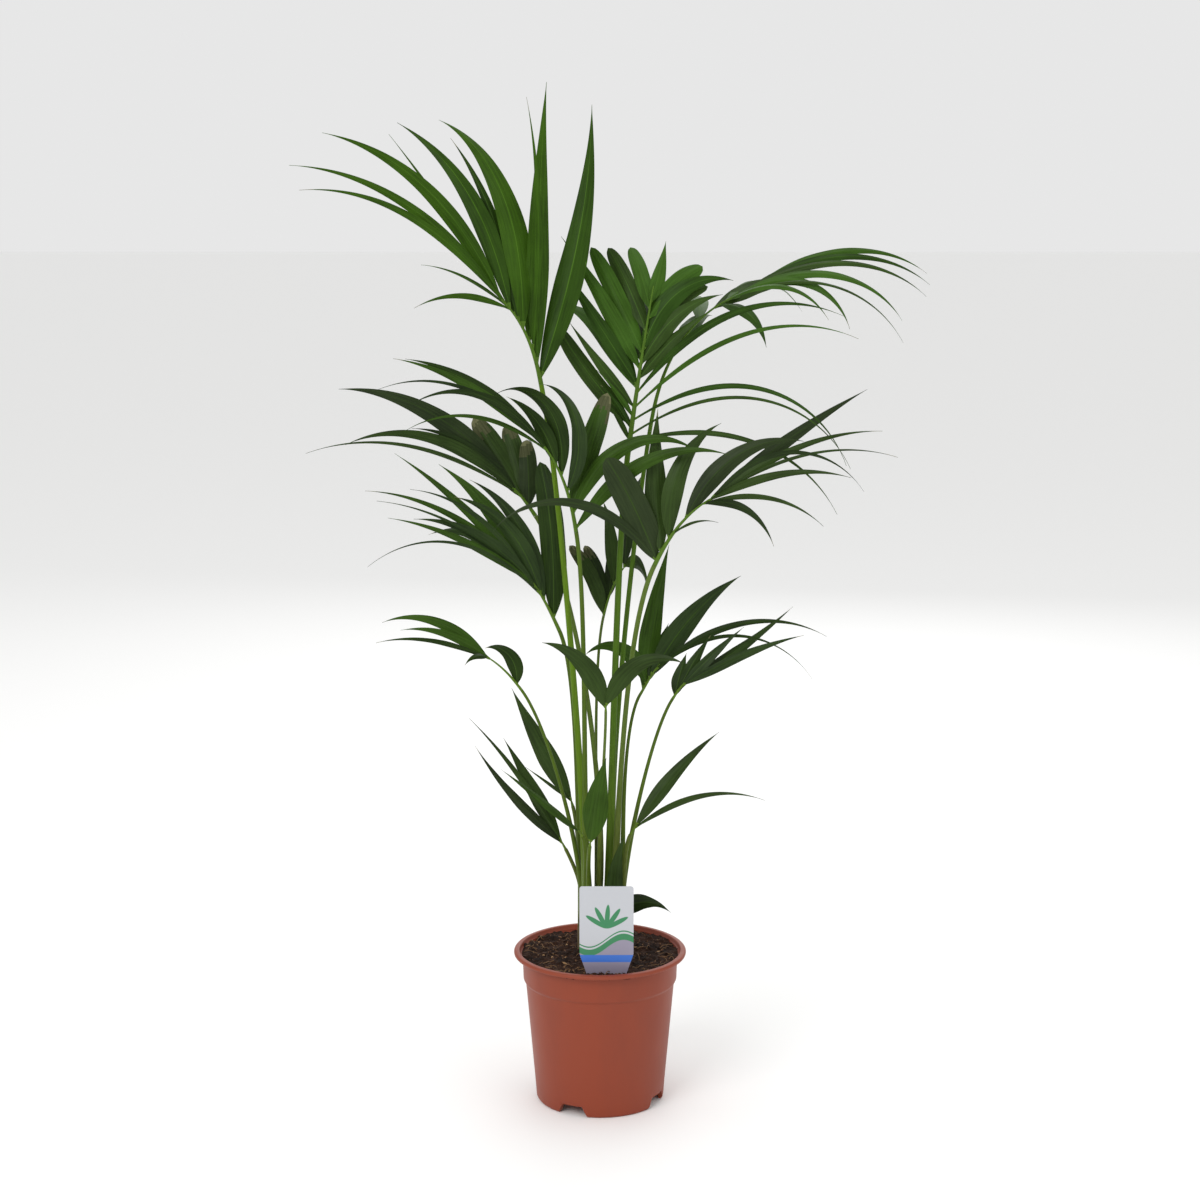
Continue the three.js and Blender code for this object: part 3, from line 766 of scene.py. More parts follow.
@dataclass(frozen=True)
class Stalk(TwoTone):
    """Smooth fibrous stalk tissue: waxy, yellower towards the soil, with fine lines along it.

    The second colour is that of the lines.

    Attributes:
        foot_colour: The colour at soil level.
        low: Height in millimetres below which the foot's colour holds.
        high: Height above which the first colour holds.
        line: Spacing of the lines in millimetres, drawn coarse enough to show.
        line_run: How far up the stalk a line keeps its tone, in millimetres.
    """

    foot_colour: int = 0x5C7020
    gloss: float = 0.12
    relief: float = 0.3
    strength: float = 0.5
    low: float = 170.0
    high: float = 420.0
    line: float = 1.43
    line_run: float = 71.4

    def ground(self, canvas: Canvas) -> Any:
        """The foot's colour, which gives way to the first one by height.

        Args:
            canvas: The material in the making.

        Returns:
            A socket with the colour.
        """
        height = canvas.add("SeparateXYZ", {"Vector": canvas.place}).outputs["Z"]
        reach = {"Value": height, "From Min": self.low * MM, "From Max": self.high * MM}
        share = canvas.add("MapRange", reach)
        colours = {0: share, MIX_A: linear(self.foot_colour), MIX_B: linear(self.colour)}
        return canvas.add("Mix", colours, data_type="RGBA").outputs[MIX_COLOUR]

    def pattern(self, canvas: Canvas) -> tuple[Any, Any, Any]:
        """Fine lines that follow the upright stalk.

        Args:
            canvas: The material in the making.

        Returns:
            The second colour's share, the relief and the roughness.
        """
        spacing = [1 / (size * MM) for size in (self.line, self.line, self.line_run)]
        along = canvas.add("Mapping", {"Vector": canvas.place, "Scale": spacing})
        lines = canvas.add("TexNoise", {"Vector": along, "Scale": 1.0, "Detail": 3.0})
        share = canvas.add(
            "MapRange", {"Value": lines, "From Min": 0.45, "From Max": 0.75, "To Max": 0.6}
        )
        return share, lines, self.roughness


@dataclass(frozen=True)
class DryFibre(TwoTone):
    """Dead plant matter such as dried sheath, bark or coir: matt, streaked and uneven.

    Attributes:
        grain: Width of a streak in millimetres.
        stretch: How much longer than wide a streak is.
    """

    roughness: float = 0.85
    strength: float = 0.8
    grain: float = 1.2
    stretch: float = 4.0

    def pattern(self, canvas: Canvas) -> tuple[Any, Any, Any]:
        """Streaks by a noise drawn out along Z.

        Args:
            canvas: The material in the making.

        Returns:
            The second colour's share, the relief and the roughness.
        """
        drawn = {"Vector": canvas.place, "Scale": (1, 1, 1 / self.stretch)}
        along = canvas.add("Mapping", drawn)
        size = 1 / (self.grain * MM)
        streaks = canvas.add("TexNoise", {"Vector": along, "Scale": size, "Detail": 4.0})
        return streaks, streaks, self.roughness


@dataclass(frozen=True)
class MouldedPolypropylene(TwoTone):
    """Injection-moulded polypropylene: evenly coloured, satin, with a fine pebbled skin.

    The second colour is the duller one of scuffs and dried splashes.

    Attributes:
        pebble: Size of the skin's pebbles in millimetres.
        patch: Width of a scuffed patch in millimetres.
        stretch: How a patch is drawn out upwards.
        sheen: The roughness of the cleanest and of the most scuffed skin.
    """

    gloss: float = 0.34
    relief: float = 0.2
    strength: float = 0.12
    pebble: float = 0.9
    patch: float = 62.5
    stretch: float = 0.35
    sheen: tuple[float, float] = (0.4, 0.54)

    def pattern(self, canvas: Canvas) -> tuple[Any, Any, Any]:
        """Patches of scuffs, which are duller too, on a pebbled skin.

        Args:
            canvas: The material in the making.

        Returns:
            The second colour's share, the relief and the roughness.
        """
        drawn = {"Vector": canvas.place, "Scale": (1, 1, self.stretch)}
        along = canvas.add("Mapping", drawn)
        patches = canvas.add(
            "TexNoise",
            {"Vector": along, "Scale": 1 / (self.patch * MM), "Detail": 5.0, "Roughness": 0.62},
        )
        scuffs = canvas.add(
            "MapRange", {"Value": patches, "From Min": 0.48, "From Max": 0.78, "To Max": 0.55}
        )
        low, high = self.sheen
        dullness = canvas.add(
            "MapRange",
            {"Value": patches, "From Min": 0.3, "From Max": 0.7, "To Min": low, "To Max": high},
        )
        skin = canvas.add(
            "TexNoise", {"Vector": canvas.place, "Scale": 1 / (self.pebble * MM), "Detail": 2.0}
        )
        return scuffs, skin, dullness


@dataclass(frozen=True)
class Peat(TwoTone):
    """Moist peat: brown on its crumbs and matt, with painted shade making its hollows nearly black.

    Attributes:
        crumb: Size of a crumb in millimetres.
        clod: Size of a clod in crumbs.
    """

    roughness: float = 0.95
    gloss: float = 0.25
    relief: float = 1.2
    strength: float = 1.0
    crumb: float = 2.4
    clod: float = 6.0

    def pattern(self, canvas: Canvas) -> tuple[Any, Any, Any]:
        """Crumbs in relief, drier on the clods, with painted shade darkening the hollows between the
        crumbs.

        Args:
            canvas: The material in the making.

        Returns:
            The second colour's share, the relief and the roughness.
        """
        size = self.crumb * MM
        clods = canvas.add(
            "TexNoise", {"Vector": canvas.place, "Scale": 1 / (self.clod * size), "Detail": 3.0}
        )
        crumbs = canvas.add(
            "TexNoise",
            {"Vector": canvas.place, "Scale": 1 / size, "Detail": 6.0, "Roughness": 0.7},
        )
        both = canvas.add("Math", {0: clods, 1: crumbs}, operation="MULTIPLY")
        # The dark first colour fills the hollows between the crumbs: painted shade.
        share = canvas.add("MapRange", {"Value": both, "From Min": 0.16, "From Max": 0.36})
        return share, crumbs, self.roughness


@dataclass(frozen=True)
class PrintedCard(Finish):
    """Printed polystyrene card: smooth, under a clear varnish that gives it a soft gloss.

    Its print is generic: a green wave, a blue band and a sprig of leaves on pale grey.

    Attributes:
        card: The bare card's colour.
        green: The wave's and leaves' green.
        field: The field under the wave.
        blue: The band's blue.
        swell: Height of the wave in millimetres.
        swing: Radians of the wave to the millimetre.
        sprig: Height of the sprig's root in millimetres.
        leaf_size: Width and length of a leaf.
        leans: The leaves' leans from upright, in degrees.
    """

    card: int
    green: int
    field: int
    blue: int
    swell: float = 9.0
    swing: float = 0.085
    sprig: float = 82.0
    leaf_size: tuple[float, float] = (5.2, 26.0)
    leans: tuple[float, ...] = (-58, -28, 4, 34, 62)

    def shade(self, canvas: Canvas) -> dict[str, Any]:
        """Lays the print in layers, each painted over the last where its mask is 1.

        The bands above and under the wave run at constant heights of y - swell sin(swing x).

        Args:
            canvas: The material in the making.

        Returns:
            The shader's inputs.
        """
        axes = canvas.add("SeparateXYZ", {"Vector": canvas.surface}).outputs
        turn = canvas.add("Math", {0: axes["X"], 1: self.swing}, operation="MULTIPLY")
        sine = canvas.add("Math", {0: turn}, operation="SINE")
        wave = canvas.add("Math", {0: sine, 1: -self.swell, 2: axes["Y"]}, operation="MULTIPLY_ADD")
        layers = [
            (self.band(canvas, wave, -40, 66), self.field),
            (self.band(canvas, wave, 60, 67), self.green),
            (self.band(canvas, wave, 69, 70.5), self.green),
            (self.band(canvas, axes["Y"], 44, 52), self.blue),
        ]
        layers += [(self.leaf(canvas, lean), self.green) for lean in self.leans]
        painted = linear(self.card)
        for mask, colour in layers:
            coat = {0: mask, MIX_A: painted, MIX_B: linear(colour)}
            painted = canvas.add("Mix", coat, data_type="RGBA").outputs[MIX_COLOUR]
        return {
            "Base Color": painted, "Roughness": 0.32, "IOR": 1.5,
            "Coat Weight": 0.15, "Coat Roughness": 0.2,
        }

    @staticmethod
    def band(canvas: Canvas, value: Any, low: float, high: float) -> bpy.types.Node:
        """Masks the places where a value in millimetres lies between two limits.

        Args:
            canvas: The material in the making.
            value: The value to test, as a socket or a node.
            low: Lower limit.
            high: Upper limit.

        Returns:
            A node that gives 1 inside the band and 0 outside.
        """
        middle, half, edge = (low + high) / 2, (high - low) / 2, 0.15
        away = canvas.add("Math", {0: value, 1: middle}, operation="SUBTRACT")
        size = canvas.add("Math", {0: away}, operation="ABSOLUTE")
        limits = {"From Min": half - edge, "From Max": half + edge, "To Min": 1.0, "To Max": 0.0}
        return canvas.add("MapRange", {"Value": size, **limits})

    def leaf(self, canvas: Canvas, lean: float) -> bpy.types.Node:
        """Masks one leaf of the sprig, an ellipse that stands off the sprig's root.

        Args:
            canvas: The material in the making.
            lean: The leaf's lean from upright, in degrees.

        Returns:
            A node that gives 1 inside the leaf and 0 outside.
        """
        half_width, half_length = self.leaf_size[0] / 2, self.leaf_size[1] / 2
        turn = math.radians(lean)
        centre = (math.sin(turn) * half_length, self.sprig + math.cos(turn) * half_length, 0)
        inside = canvas.add(
            "Mapping",
            {"Vector": canvas.surface, "Location": centre, "Rotation": (0, 0, -turn),
             "Scale": (half_width, half_length, 1)},
            vector_type="TEXTURE",
        )
        reach = canvas.add("VectorMath", {0: inside}, operation="LENGTH").outputs["Value"]
        limits = {"From Min": 0.95, "From Max": 1.05, "To Min": 1.0, "To Max": 0.0}
        return canvas.add("MapRange", {"Value": reach, **limits})


@dataclass(frozen=True)
class Paper(Finish):
    """Matt backdrop paper under the plant, with a very faint mottle.

    Attributes:
        colour: The paper's colour.
        mottle: Size of the mottle in millimetres.
    """

    colour: int
    mottle: float = 333.0

    def shade(self, canvas: Canvas) -> dict[str, Any]:
        """Gives the paper its even colour and its mottle in relief.

        Args:
            canvas: The material in the making.

        Returns:
            The shader's inputs.
        """
        mottle = canvas.add("TexNoise", {"Vector": canvas.place, "Scale": 1 / (self.mottle * MM)})
        relief = canvas.add("Bump", {"Height": mottle, "Strength": 0.02, "Distance": 1 * MM})
        return {"Base Color": linear(self.colour), "Roughness": 0.9, "Normal": relief}


# Leaf tissue: satin greens above, light, deep or dull from leaflet to leaflet, which deepen as a
# frond ages. Each is a green, the second green of its veins, and its gloss.
GREENS: dict[Age, tuple[tuple[int, int, float], ...]] = {
    Age.FRESH: ((0x34530D, 0x284108, 0.08), (0x27400A, 0x1C3006, 0.08), (0x2D480F, 0x22380A, 0.08)),
    Age.MIDDLE: ((0x3B5C1B, 0x2E4911, 0.08), (0x2C4713, 0x20350A, 0.08), (0x33491A, 0x253711, 0.08)),
    Age.MATURE: ((0x355016, 0x273C0D, 0.08), (0x263910, 0x1A2A09, 0.1), (0x2B3D1A, 0x1E2E12, 0.12)),
    Age.OLD: ((0x31441B, 0x233211, 0.1), (0x223212, 0x18240B, 0.12), (0x2B381C, 0x1E2A12, 0.12)),
}
BLADES: dict[Age, list[LeafBlade]] = {
    age: [
        LeafBlade(f"leaf_tissue_{age.value}_{tone}", colour, second, gloss=gloss)
        for tone, (colour, second, gloss) in zip(("light", "deep", "dull"), greens)
    ]
    for age, greens in GREENS.items()
}
# The underside of a leaf has no cuticle to speak of: paler, greyer and dull.
UNDERSIDES: dict[Age, LeafBlade] = {
    Age.FRESH: LeafBlade("leaf_underside_fresh", 0x40601C, 0x345016, roughness=0.6),
    Age.MIDDLE: LeafBlade("leaf_underside_middle", 0x3A5220, 0x2E4218, roughness=0.6),
    Age.MATURE: LeafBlade("leaf_underside_mature", 0x364824, 0x2A381A, roughness=0.6),
    Age.OLD: LeafBlade("leaf_underside_old", 0x334224, 0x27331A, roughness=0.6),
}
# The rib down the middle of a leaflet: a little lighter than the blade.
RIBS: dict[Age, LeafBlade] = {
    Age.FRESH: LeafBlade("leaf_rib_fresh", 0x44661A, 0x385812),
    Age.MIDDLE: LeafBlade("leaf_rib_middle", 0x40601E, 0x345016),
    Age.MATURE: LeafBlade("leaf_rib_mature", 0x38501C, 0x2C4214),
    Age.OLD: LeafBlade("leaf_rib_old", 0x32461C, 0x273816),
}
# Leaf tissue that has lost its green towards a dried end: dull olive brown.
FADED_BLADE = LeafBlade("leaf_tissue_faded", 0x4E5136, 0x383B24, roughness=0.6)
# Stalks: smooth waxy skin, the brightest greens of the plant, yellower where they leave the soil.
RACHIS_SKIN = Stalk("rachis_skin", 0x4C6A1E, 0x3A5018, foot_colour=0x5C7424, low=300.0, high=700.0)
PETIOLE_SKINS: dict[Age, Stalk] = {
    Age.FRESH: Stalk("petiole_skin_fresh", 0x587618, 0x3A5010, foot_colour=0x5C7020),
    Age.MIDDLE: Stalk("petiole_skin_middle", 0x486619, 0x34480E, foot_colour=0x566A1E),
    Age.MATURE: Stalk("petiole_skin_mature", 0x4A601B, 0x384810, foot_colour=0x566820),
    Age.OLD: Stalk("petiole_skin_old", 0x54682A, 0x424C16, foot_colour=0x60682C),
}
SHEATH_SKIN = Stalk("sheath_skin", 0x54681E, 0x3C4A18, foot_colour=0x646A2C, low=165.0, high=240.0)
# Dried plant matter: matt and fibrous, from pale straw to dark brown bark.
DRY_SHEATH = DryFibre("dry_sheath", 0x6A5A36, 0x463A22)
DRY_TIP = DryFibre("dry_leaf_tip", 0x6C7048, 0x4E4A30, grain=3.0)
BARKS = (
    DryFibre("bark_chip_dark", 0x4A2E1A, 0x2C1A0F, grain=1.6),
    DryFibre("bark_chip_brown", 0x7A5230, 0x52361F, grain=1.6),
    DryFibre("bark_chip_pale", 0xB08A5E, 0x8A6540, grain=1.6),
)
COIR = DryFibre("coir_fibre", 0x8C6A48, 0x5A4028, grain=2.0)
# Moist peat: a dark matt ground that makes the bark and fibres on it stand out, with painted shade in
# its hollows.
PEAT = Peat("moist_peat", 0x180C07, 0x3C2417)
# Moulded polypropylene: a soft even sheen down each side of the pot.
POT_PLASTIC = MouldedPolypropylene("moulded_polypropylene", 0x873920, 0x783828)
# Printed polystyrene card: flat bright colours under one thin gloss.
CARD = PrintedCard("printed_polystyrene_card", 0xB8BABF, 0x2A7A4C, 0x8C8698, 0x2C68C4)
# Backdrop paper: plain, pale and matt.
PAPER = Paper("matt_backdrop_paper", 0xFBFBFA)


# ------------------------------------------------------------------------------ limbs as curves


def direction(bearing: np.ndarray | float, rise: np.ndarray | float) -> np.ndarray:
    """Unit vectors (cos r cos b, cos r sin b, sin r).

    Args:
        bearing: Bearings b in degrees.
        rise: Rises r in degrees.

    Returns:
        The vectors, with their parts on the last axis.
    """
    bearing, rise = np.radians(bearing), np.radians(rise)
    flat = np.cos(rise)
    return np.stack([flat * np.cos(bearing), flat * np.sin(bearing), np.sin(rise)], axis=-1)


def unit(vectors: np.ndarray) -> np.ndarray:
    """Vectors scaled to length 1."""
    return vectors / np.linalg.norm(vectors, axis=-1, keepdims=True)


@dataclass
class Limbs:
    """Many drooping limbs at once; each attribute holds one value for each limb.

    Attributes:
        root: Root points in millimetres, n by 3.
        length: Lengths in millimetres.
        bearing: Bearings at the root.
        rise: Rises at the root.
        droop: Fall of the rise by the tip.
        sweep: Drift of the bearing by the tip.
    """

    root: np.ndarray
    length: np.ndarray
    bearing: np.ndarray
    rise: np.ndarray
    droop: np.ndarray
    sweep: np.ndarray

    def angles(self, share: np.ndarray) -> tuple[np.ndarray, np.ndarray]:
        """Bearings and rises at shares s of the length.

        The bearing is bearing + sweep s² and the rise is rise - droop s^1.5.

        Args:
            share: Shares of the length.

        Returns:
            Bearings and rises, limbs by shares.
        """
        bearing = self.bearing[:, None] + self.sweep[:, None] * share**2
        rise = self.rise[:, None] - self.droop[:, None] * share**BEND_POWER
        return bearing, rise

    def line(self, rows: int) -> np.ndarray:
        """Points along each limb: the sum of equal steps, each in the direction at its middle.

        Args:
            rows: Points on each limb.

        Returns:
            Points, limbs by rows by 3.
        """
        middles = (np.arange(rows - 1) + 0.5) / (rows - 1)
        steps = direction(*self.angles(middles)) * (self.length / (rows - 1))[:, None, None]
        start = np.zeros((len(self.length), 1, 3))
        return self.root[:, None] + np.concatenate([start, np.cumsum(steps, axis=1)], axis=1)

    def frames(self, rows: int, face: np.ndarray) -> tuple[np.ndarray, np.ndarray]:
        """The directions of a limb's width and of its upper side, all along it.

        At the root the width is tangent × face. It keeps its shares along the level normal N of
        the limb's bend and along N × tangent, so it doesn't spin as the limb droops. The upper
        side is width × tangent.

        Args:
            rows: Points on each limb.
            face: The direction that the upper side looks towards.

        Returns:
            Widths and upper sides, each limbs by rows by 3.
        """
        bearing, rise = self.angles(np.linspace(0, 1, rows))
        tangent = direction(bearing, rise)
        level = direction(bearing + 90, np.zeros_like(bearing))
        upright = np.cross(level, tangent)
        at_root = unit(np.cross(tangent[:, 0], face))
        on_level = (at_root * level[:, 0]).sum(-1)[:, None, None]
        on_upright = (at_root * upright[:, 0]).sum(-1)[:, None, None]
        width = on_level * level + on_upright * upright
        return width, np.cross(width, tangent)


def one_limb(root: np.ndarray, limb: Limb) -> Limbs:
    """A single limb in the form that holds many."""
    one = [np.array([value], float) for value in (limb.length, limb.bearing, limb.rise, limb.droop)]
    return Limbs(root[None], *one, sweep=np.zeros(1))


def ring_tube(
    line: np.ndarray, width: np.ndarray, upper: np.ndarray, radius: np.ndarray, sides: int,
    channel: float,
) -> np.ndarray:
    """Rings of a stalk: round below and dished above, as palm stalks are.

    At angle a the distance from the line is radius (1 - channel e^(-(a - up)² / spread)), where
    up is the upper side.

    Args:
        line: Centre points, rows by 3.
        width: Directions of the width, rows by 3.
        upper: Directions of the upper side, rows by 3.
        radius: Radii, one for each row.
        sides: Points on a ring.
        channel: Depth of the dish as a share of the radius.

    Returns:
        Rings, rows by sides by 3.
    """
    angle = np.linspace(0, 2 * np.pi, sides, endpoint=False)
    from_up = np.angle(np.exp(1j * (angle - np.pi / 2)))
    reach = radius[:, None] * (1 - channel * np.exp(-(from_up**2) / CHANNEL_SPREAD))
    across, above = reach * np.cos(angle), reach * np.sin(angle)
    # width, upper and the way along the line are a left-handed set, so the ring turns backwards
    ring = line[:, None] + across[..., None] * width[:, None] + above[..., None] * upper[:, None]
    return ring[:, ::-1]


# ------------------------------------------------------------------------------ fronds


class FrondFinish(Enum):
    """The finishes of a frond's faces, in the order of its material slots."""

    LIGHT = 0
    DEEP = 1
    DULL = 2
    UNDERSIDE = 3
    RIB = 4
    STALK = 5
    DRY = 6
    FADED = 7


@dataclass
class FrondBuilder:
    """Grows one frond: its rachis and its leaflets.

    Attributes:
        frond: The frond's sizes.
        seed: Seed of the small differences between leaflets.
        rows: Points along a leaflet.
        widest: Where along its length a leaflet is widest.
        root_width: Width of a leaflet where it leaves the rachis, in millimetres.
        tip_width: Width of its very tip.
        thickness: Thickness of a blade at its rib.
        slender: Half width under which a blade is thinner too.
        fold: How far each half of a blade falls from the rib, in degrees.
        fold_ease: Share of the fold that is gone by the tip.
        fold_spread: The least and the greatest fold, as shares of the fold.
        sweep: Spread of the sideways drift of the blades by their tips, in degrees.
        twist: Spread of the turns of the blades about their ribs, in degrees.
        twist_power: How late along its length a blade turns.
        ripple: Height of a blade's ripples as a share of its half width.
        waves: The least and the greatest number of ripples along a blade.
        sides: Places of a blade's veins and edge, as shares of its half width.
        rib_share: Half width of the rib as a share of the blade's half width.
        rib_height: How far the rib stands out of the blade's upper side.
        keel: How far it stands out below, as a share of that.
        tones: Shares of light, deep and dull leaflets.
        dry_share: Share of the leaflets with a dry tip.
        faded: Fewest strips of a faded end, and one more than the most.
        rachis_rows: Points along the rachis.
        rachis_sides: Points around it.
        rachis_tip: Radius of its end.
        rachis_channel: Depth of its dish as a share of its radius.
    """

    frond: Frond
    seed: int
    rows: int = 36
    widest: float = 0.36
    root_width: float = 2.6
    tip_width: float = 0.35
    thickness: float = 0.5
    slender: float = 4.0
    fold: float = 17.0
    fold_ease: float = 0.65
    fold_spread: tuple[float, float] = (0.6, 1.3)
    sweep: float = 3.0
    twist: float = 12.0
    twist_power: float = 1.3
    ripple: float = 0.05
    waves: tuple[float, float] = (2.0, 4.0)
    sides: tuple[float, ...] = (0.36, 0.7, 1)
    rib_share: float = 0.04
    rib_height: float = 0.25
    keel: float = 0.6
    tones: tuple[float, ...] = (0.42, 0.34, 0.24)
    dry_share: float = 0.3
    faded: tuple[int, int] = (4, 10)
    rachis_rows: int = 28
    rachis_sides: int = 12
    rachis_tip: float = 0.7
    rachis_channel: float = 0.2

    def rachis_limb(self) -> Limbs:
        """The rachis, which leaves the crown point a seat's gap further on.

        Returns:
            The rachis as a single limb.
        """
        rachis = self.frond.rachis
        heading = direction(rachis.bearing, rachis.rise)
        return one_limb(np.array(self.frond.crown) + heading * SEAT, rachis)

    def rachis_surface(self) -> Surface:
        """The rachis as a dished stalk that tapers from the petiole's tip.

        Returns:
            Its surface.
        """
        limb = self.rachis_limb()
        line = limb.line(self.rachis_rows)[0]
        width, upper = limb.frames(self.rachis_rows, self.face())
        radius = np.linspace(self.frond.radii[1], self.rachis_tip, self.rachis_rows)
        sides, channel = self.rachis_sides, self.rachis_channel
        rings = ring_tube(line, width[0], upper[0], radius, sides, channel)
        return loft(rings, finish=FrondFinish.STALK.value)

    def face(self) -> np.ndarray:
        """The direction that the leaflets' upper sides look towards."""
        return direction(*self.frond.face)

    def leaflet_limbs(self) -> tuple[Limbs, np.ndarray, np.ndarray]:
        """Every leaflet of every fan, with its width and the kind of its tip.

        Each value runs evenly from the fan's first leaflet to its last. A leaflet's root lies on
        the rachis, between the two nearest points of its line.

        Returns:
            The limbs, their widths and the numbers of their tips.
        """
        columns: dict[str, list[np.ndarray]] = {}
        for fan in self.frond.fans:
            share = np.linspace(0, 1, fan.count) if fan.count > 1 else np.zeros(1)
            for name in ("along", "length", "bearing", "rise", "droop", "width"):
                first, last = np.broadcast_to(np.array(getattr(fan, name), float), 2)
                columns.setdefault(name, []).append(first + (last - first) * share)
            columns.setdefault("tip", []).append(np.full(fan.count, fan.tip.value))
        value = {name: np.concatenate(parts) for name, parts in columns.items()}
        line = self.rachis_limb().line(self.rachis_rows)[0]
        spots = value["along"] * (self.rachis_rows - 1)
        places = np.arange(self.rachis_rows)
        root = np.stack([np.interp(spots, places, line[:, axis]) for axis in range(3)], axis=-1)
        sweep = np.random.default_rng(self.seed).normal(0, self.sweep, len(spots))
        limbs = Limbs(root, value["length"], value["bearing"], value["rise"], value["droop"], sweep)
        return limbs, value["width"], value["tip"]

    def half_widths(self, share: np.ndarray, width: np.ndarray, tip: np.ndarray) -> np.ndarray:
        """Half widths of the blades along their length.

        A blade opens as sin(π/2 · s/widest)^0.75. Past its widest point, with p running from 0 to
        1, a fine blade closes as (1 - p^1.5)^1.25 and a round one as √(1 - p⁴). It is never
        narrower than a line from its root width to its tip width.

        Args:
            share: Shares of the length.
            width: Greatest width of each blade.
            tip: The number of each blade's tip.

        Returns:
            Half widths, blades by shares.
        """
        opening = np.sin(np.pi / 2 * np.minimum(share / self.widest, 1)) ** 0.75
        past = np.maximum(share - self.widest, 0) / (1 - self.widest)
        fine, round_end = (1 - past**1.5) ** 1.25, np.sqrt(1 - past**4)
        closing = np.where(tip[:, None] == Tip.FINE.value, fine, round_end)
        least = self.root_width + (self.tip_width - self.root_width) * share
        return np.maximum(least, width[:, None] * opening * closing) / 2

    def section(self) -> tuple[np.ndarray, np.ndarray]:
        """Places across a blade: over its upper side, then back under it.

        Returns:
            The places, with the edges at -1 and 1, and whether each is on the upper side.
        """
        half = np.array([self.rib_share, *self.sides])
        top = np.concatenate([-half[::-1], half])
        below = -top[1:-1]
        return np.concatenate([top, below]), np.repeat([True, False], [len(top), len(below)])

    def leaflets(self) -> Surface:
        """All leaflets as closed thin blades.

        Across a blade x runs from -1 to 1. Its upper side is at -|x| w tan(fold), where w is the
        half width there, raised by the rib's height on the rib and by a slow ripple that grows
        towards the edges. The fold eases from its full angle at the root to its least at the tip.
        The underside lies the thickness below, thinning to nothing at the edges. The blade also
        turns about its rib by a few degrees.

        Returns:
            The surface of all leaflets.
        """
        limbs, width, tip = self.leaflet_limbs()
        count = len(width)
        rng = np.random.default_rng(self.seed + 1)
        share = np.linspace(0, 1, self.rows)
        line = limbs.line(self.rows)
        across, upper = limbs.frames(self.rows, self.face())
        turn = rng.normal(0, self.twist, count)[:, None] * share**self.twist_power
        turn = np.radians(turn)[..., None]
        across, upper = (
            np.cos(turn) * across + np.sin(turn) * upper,
            np.cos(turn) * upper - np.sin(turn) * across,
        )
        x, is_top = self.section()
        half = self.half_widths(share, width, tip)[..., None]
        fold = self.fold * (1 - self.fold_ease * share)
        fold = np.radians(fold * rng.uniform(*self.fold_spread, (count, 1)))
        drop = -np.abs(x) * half * np.tan(fold)[..., None]
        phase = rng.uniform(0, 2 * np.pi, (count, 1, 1))
        waves = rng.uniform(*self.waves, (count, 1, 1))
        swing = np.sin(2 * np.pi * waves * share[:, None] + phase + x)
        ripple = self.ripple * half * x**2 * swing
        shell = self.thickness / 2 * (1 - x**2) * np.where(is_top, 1, -1)
        ridge = self.rib_height * (np.abs(x) <= self.rib_share) * np.where(is_top, 1, -self.keel)
        slim = np.minimum(half / self.slender, 1)
        height = drop + ripple + (shell + ridge) * slim
        rings = (
            line[:, :, None]
            + (x * half)[..., None] * across[:, :, None]
            + height[..., None] * upper[:, :, None]
        )[:, :, ::-1]
        along = share[:, None] * limbs.length[:, None, None] + 0 * x
        uv = np.stack([x * half, along], axis=-1)[:, :, ::-1]
        paint = self.leaflet_finish(rng, tip, is_top)
        return join([loft(*leaflet) for leaflet in zip(rings, uv, paint)])

    def leaflet_finish(
        self, rng: np.random.Generator, tip: np.ndarray, is_top: np.ndarray
    ) -> np.ndarray:
        """Deals out the finishes: one green to each leaflet, its rib, its underside and its ends.

        The last strips of a faded end have lost their green, more of them on one vein than on the
        next, and the last third of those is dry.

        Args:
            rng: Source of the random choices.
            tip: The number of each leaflet's tip.
            is_top: For each place across a blade, whether it is on the upper side.

        Returns:
            Finishes, leaflets by strips along them by quads around them.
        """
        count, around, top_quads = len(tip), len(is_top), is_top.sum() - 1
        tone = rng.choice(len(self.tones), count, p=self.tones)[:, None, None]
        paint = np.broadcast_to(tone, (count, self.rows - 1, around)).copy()
        quads = np.roll(np.arange(around)[::-1], -1)  # the rings run backwards
        paint[:, :, quads >= top_quads] = FrondFinish.UNDERSIDE.value
        paint[:, :, quads == top_quads // 2] = FrondFinish.RIB.value
        paint[:, :1] = FrondFinish.STALK.value
        dry = rng.random(count) < self.dry_share
        paint[dry, -2:] = FrondFinish.DRY.value
        depth = np.random.default_rng(self.seed + 2).integers(*self.faded, (count, 1, around))
        depth = np.where(tip[:, None, None] == Tip.FADED.value, depth, 0)
        from_end = np.arange(self.rows - 1, 0, -1)[:, None]
        paint = np.where(from_end <= depth, FrondFinish.FADED.value, paint)
        return np.where(from_end <= depth // 3, FrondFinish.DRY.value, paint)

    def build(self) -> list[bpy.types.Object]:
        """Makes the frond's piece, which replaces its solid.

        Returns:
            That piece alone.
        """
        age, name = self.frond.age, self.frond.name
        finishes = (*BLADES[age], UNDERSIDES[age], RIBS[age], RACHIS_SKIN, DRY_TIP, FADED_BLADE)
        surface = join([self.rachis_surface(), self.leaflets()])
        return [make_piece(f"leaflets_{name}", surface, finishes, f"frond_{name}", sharp=50)]


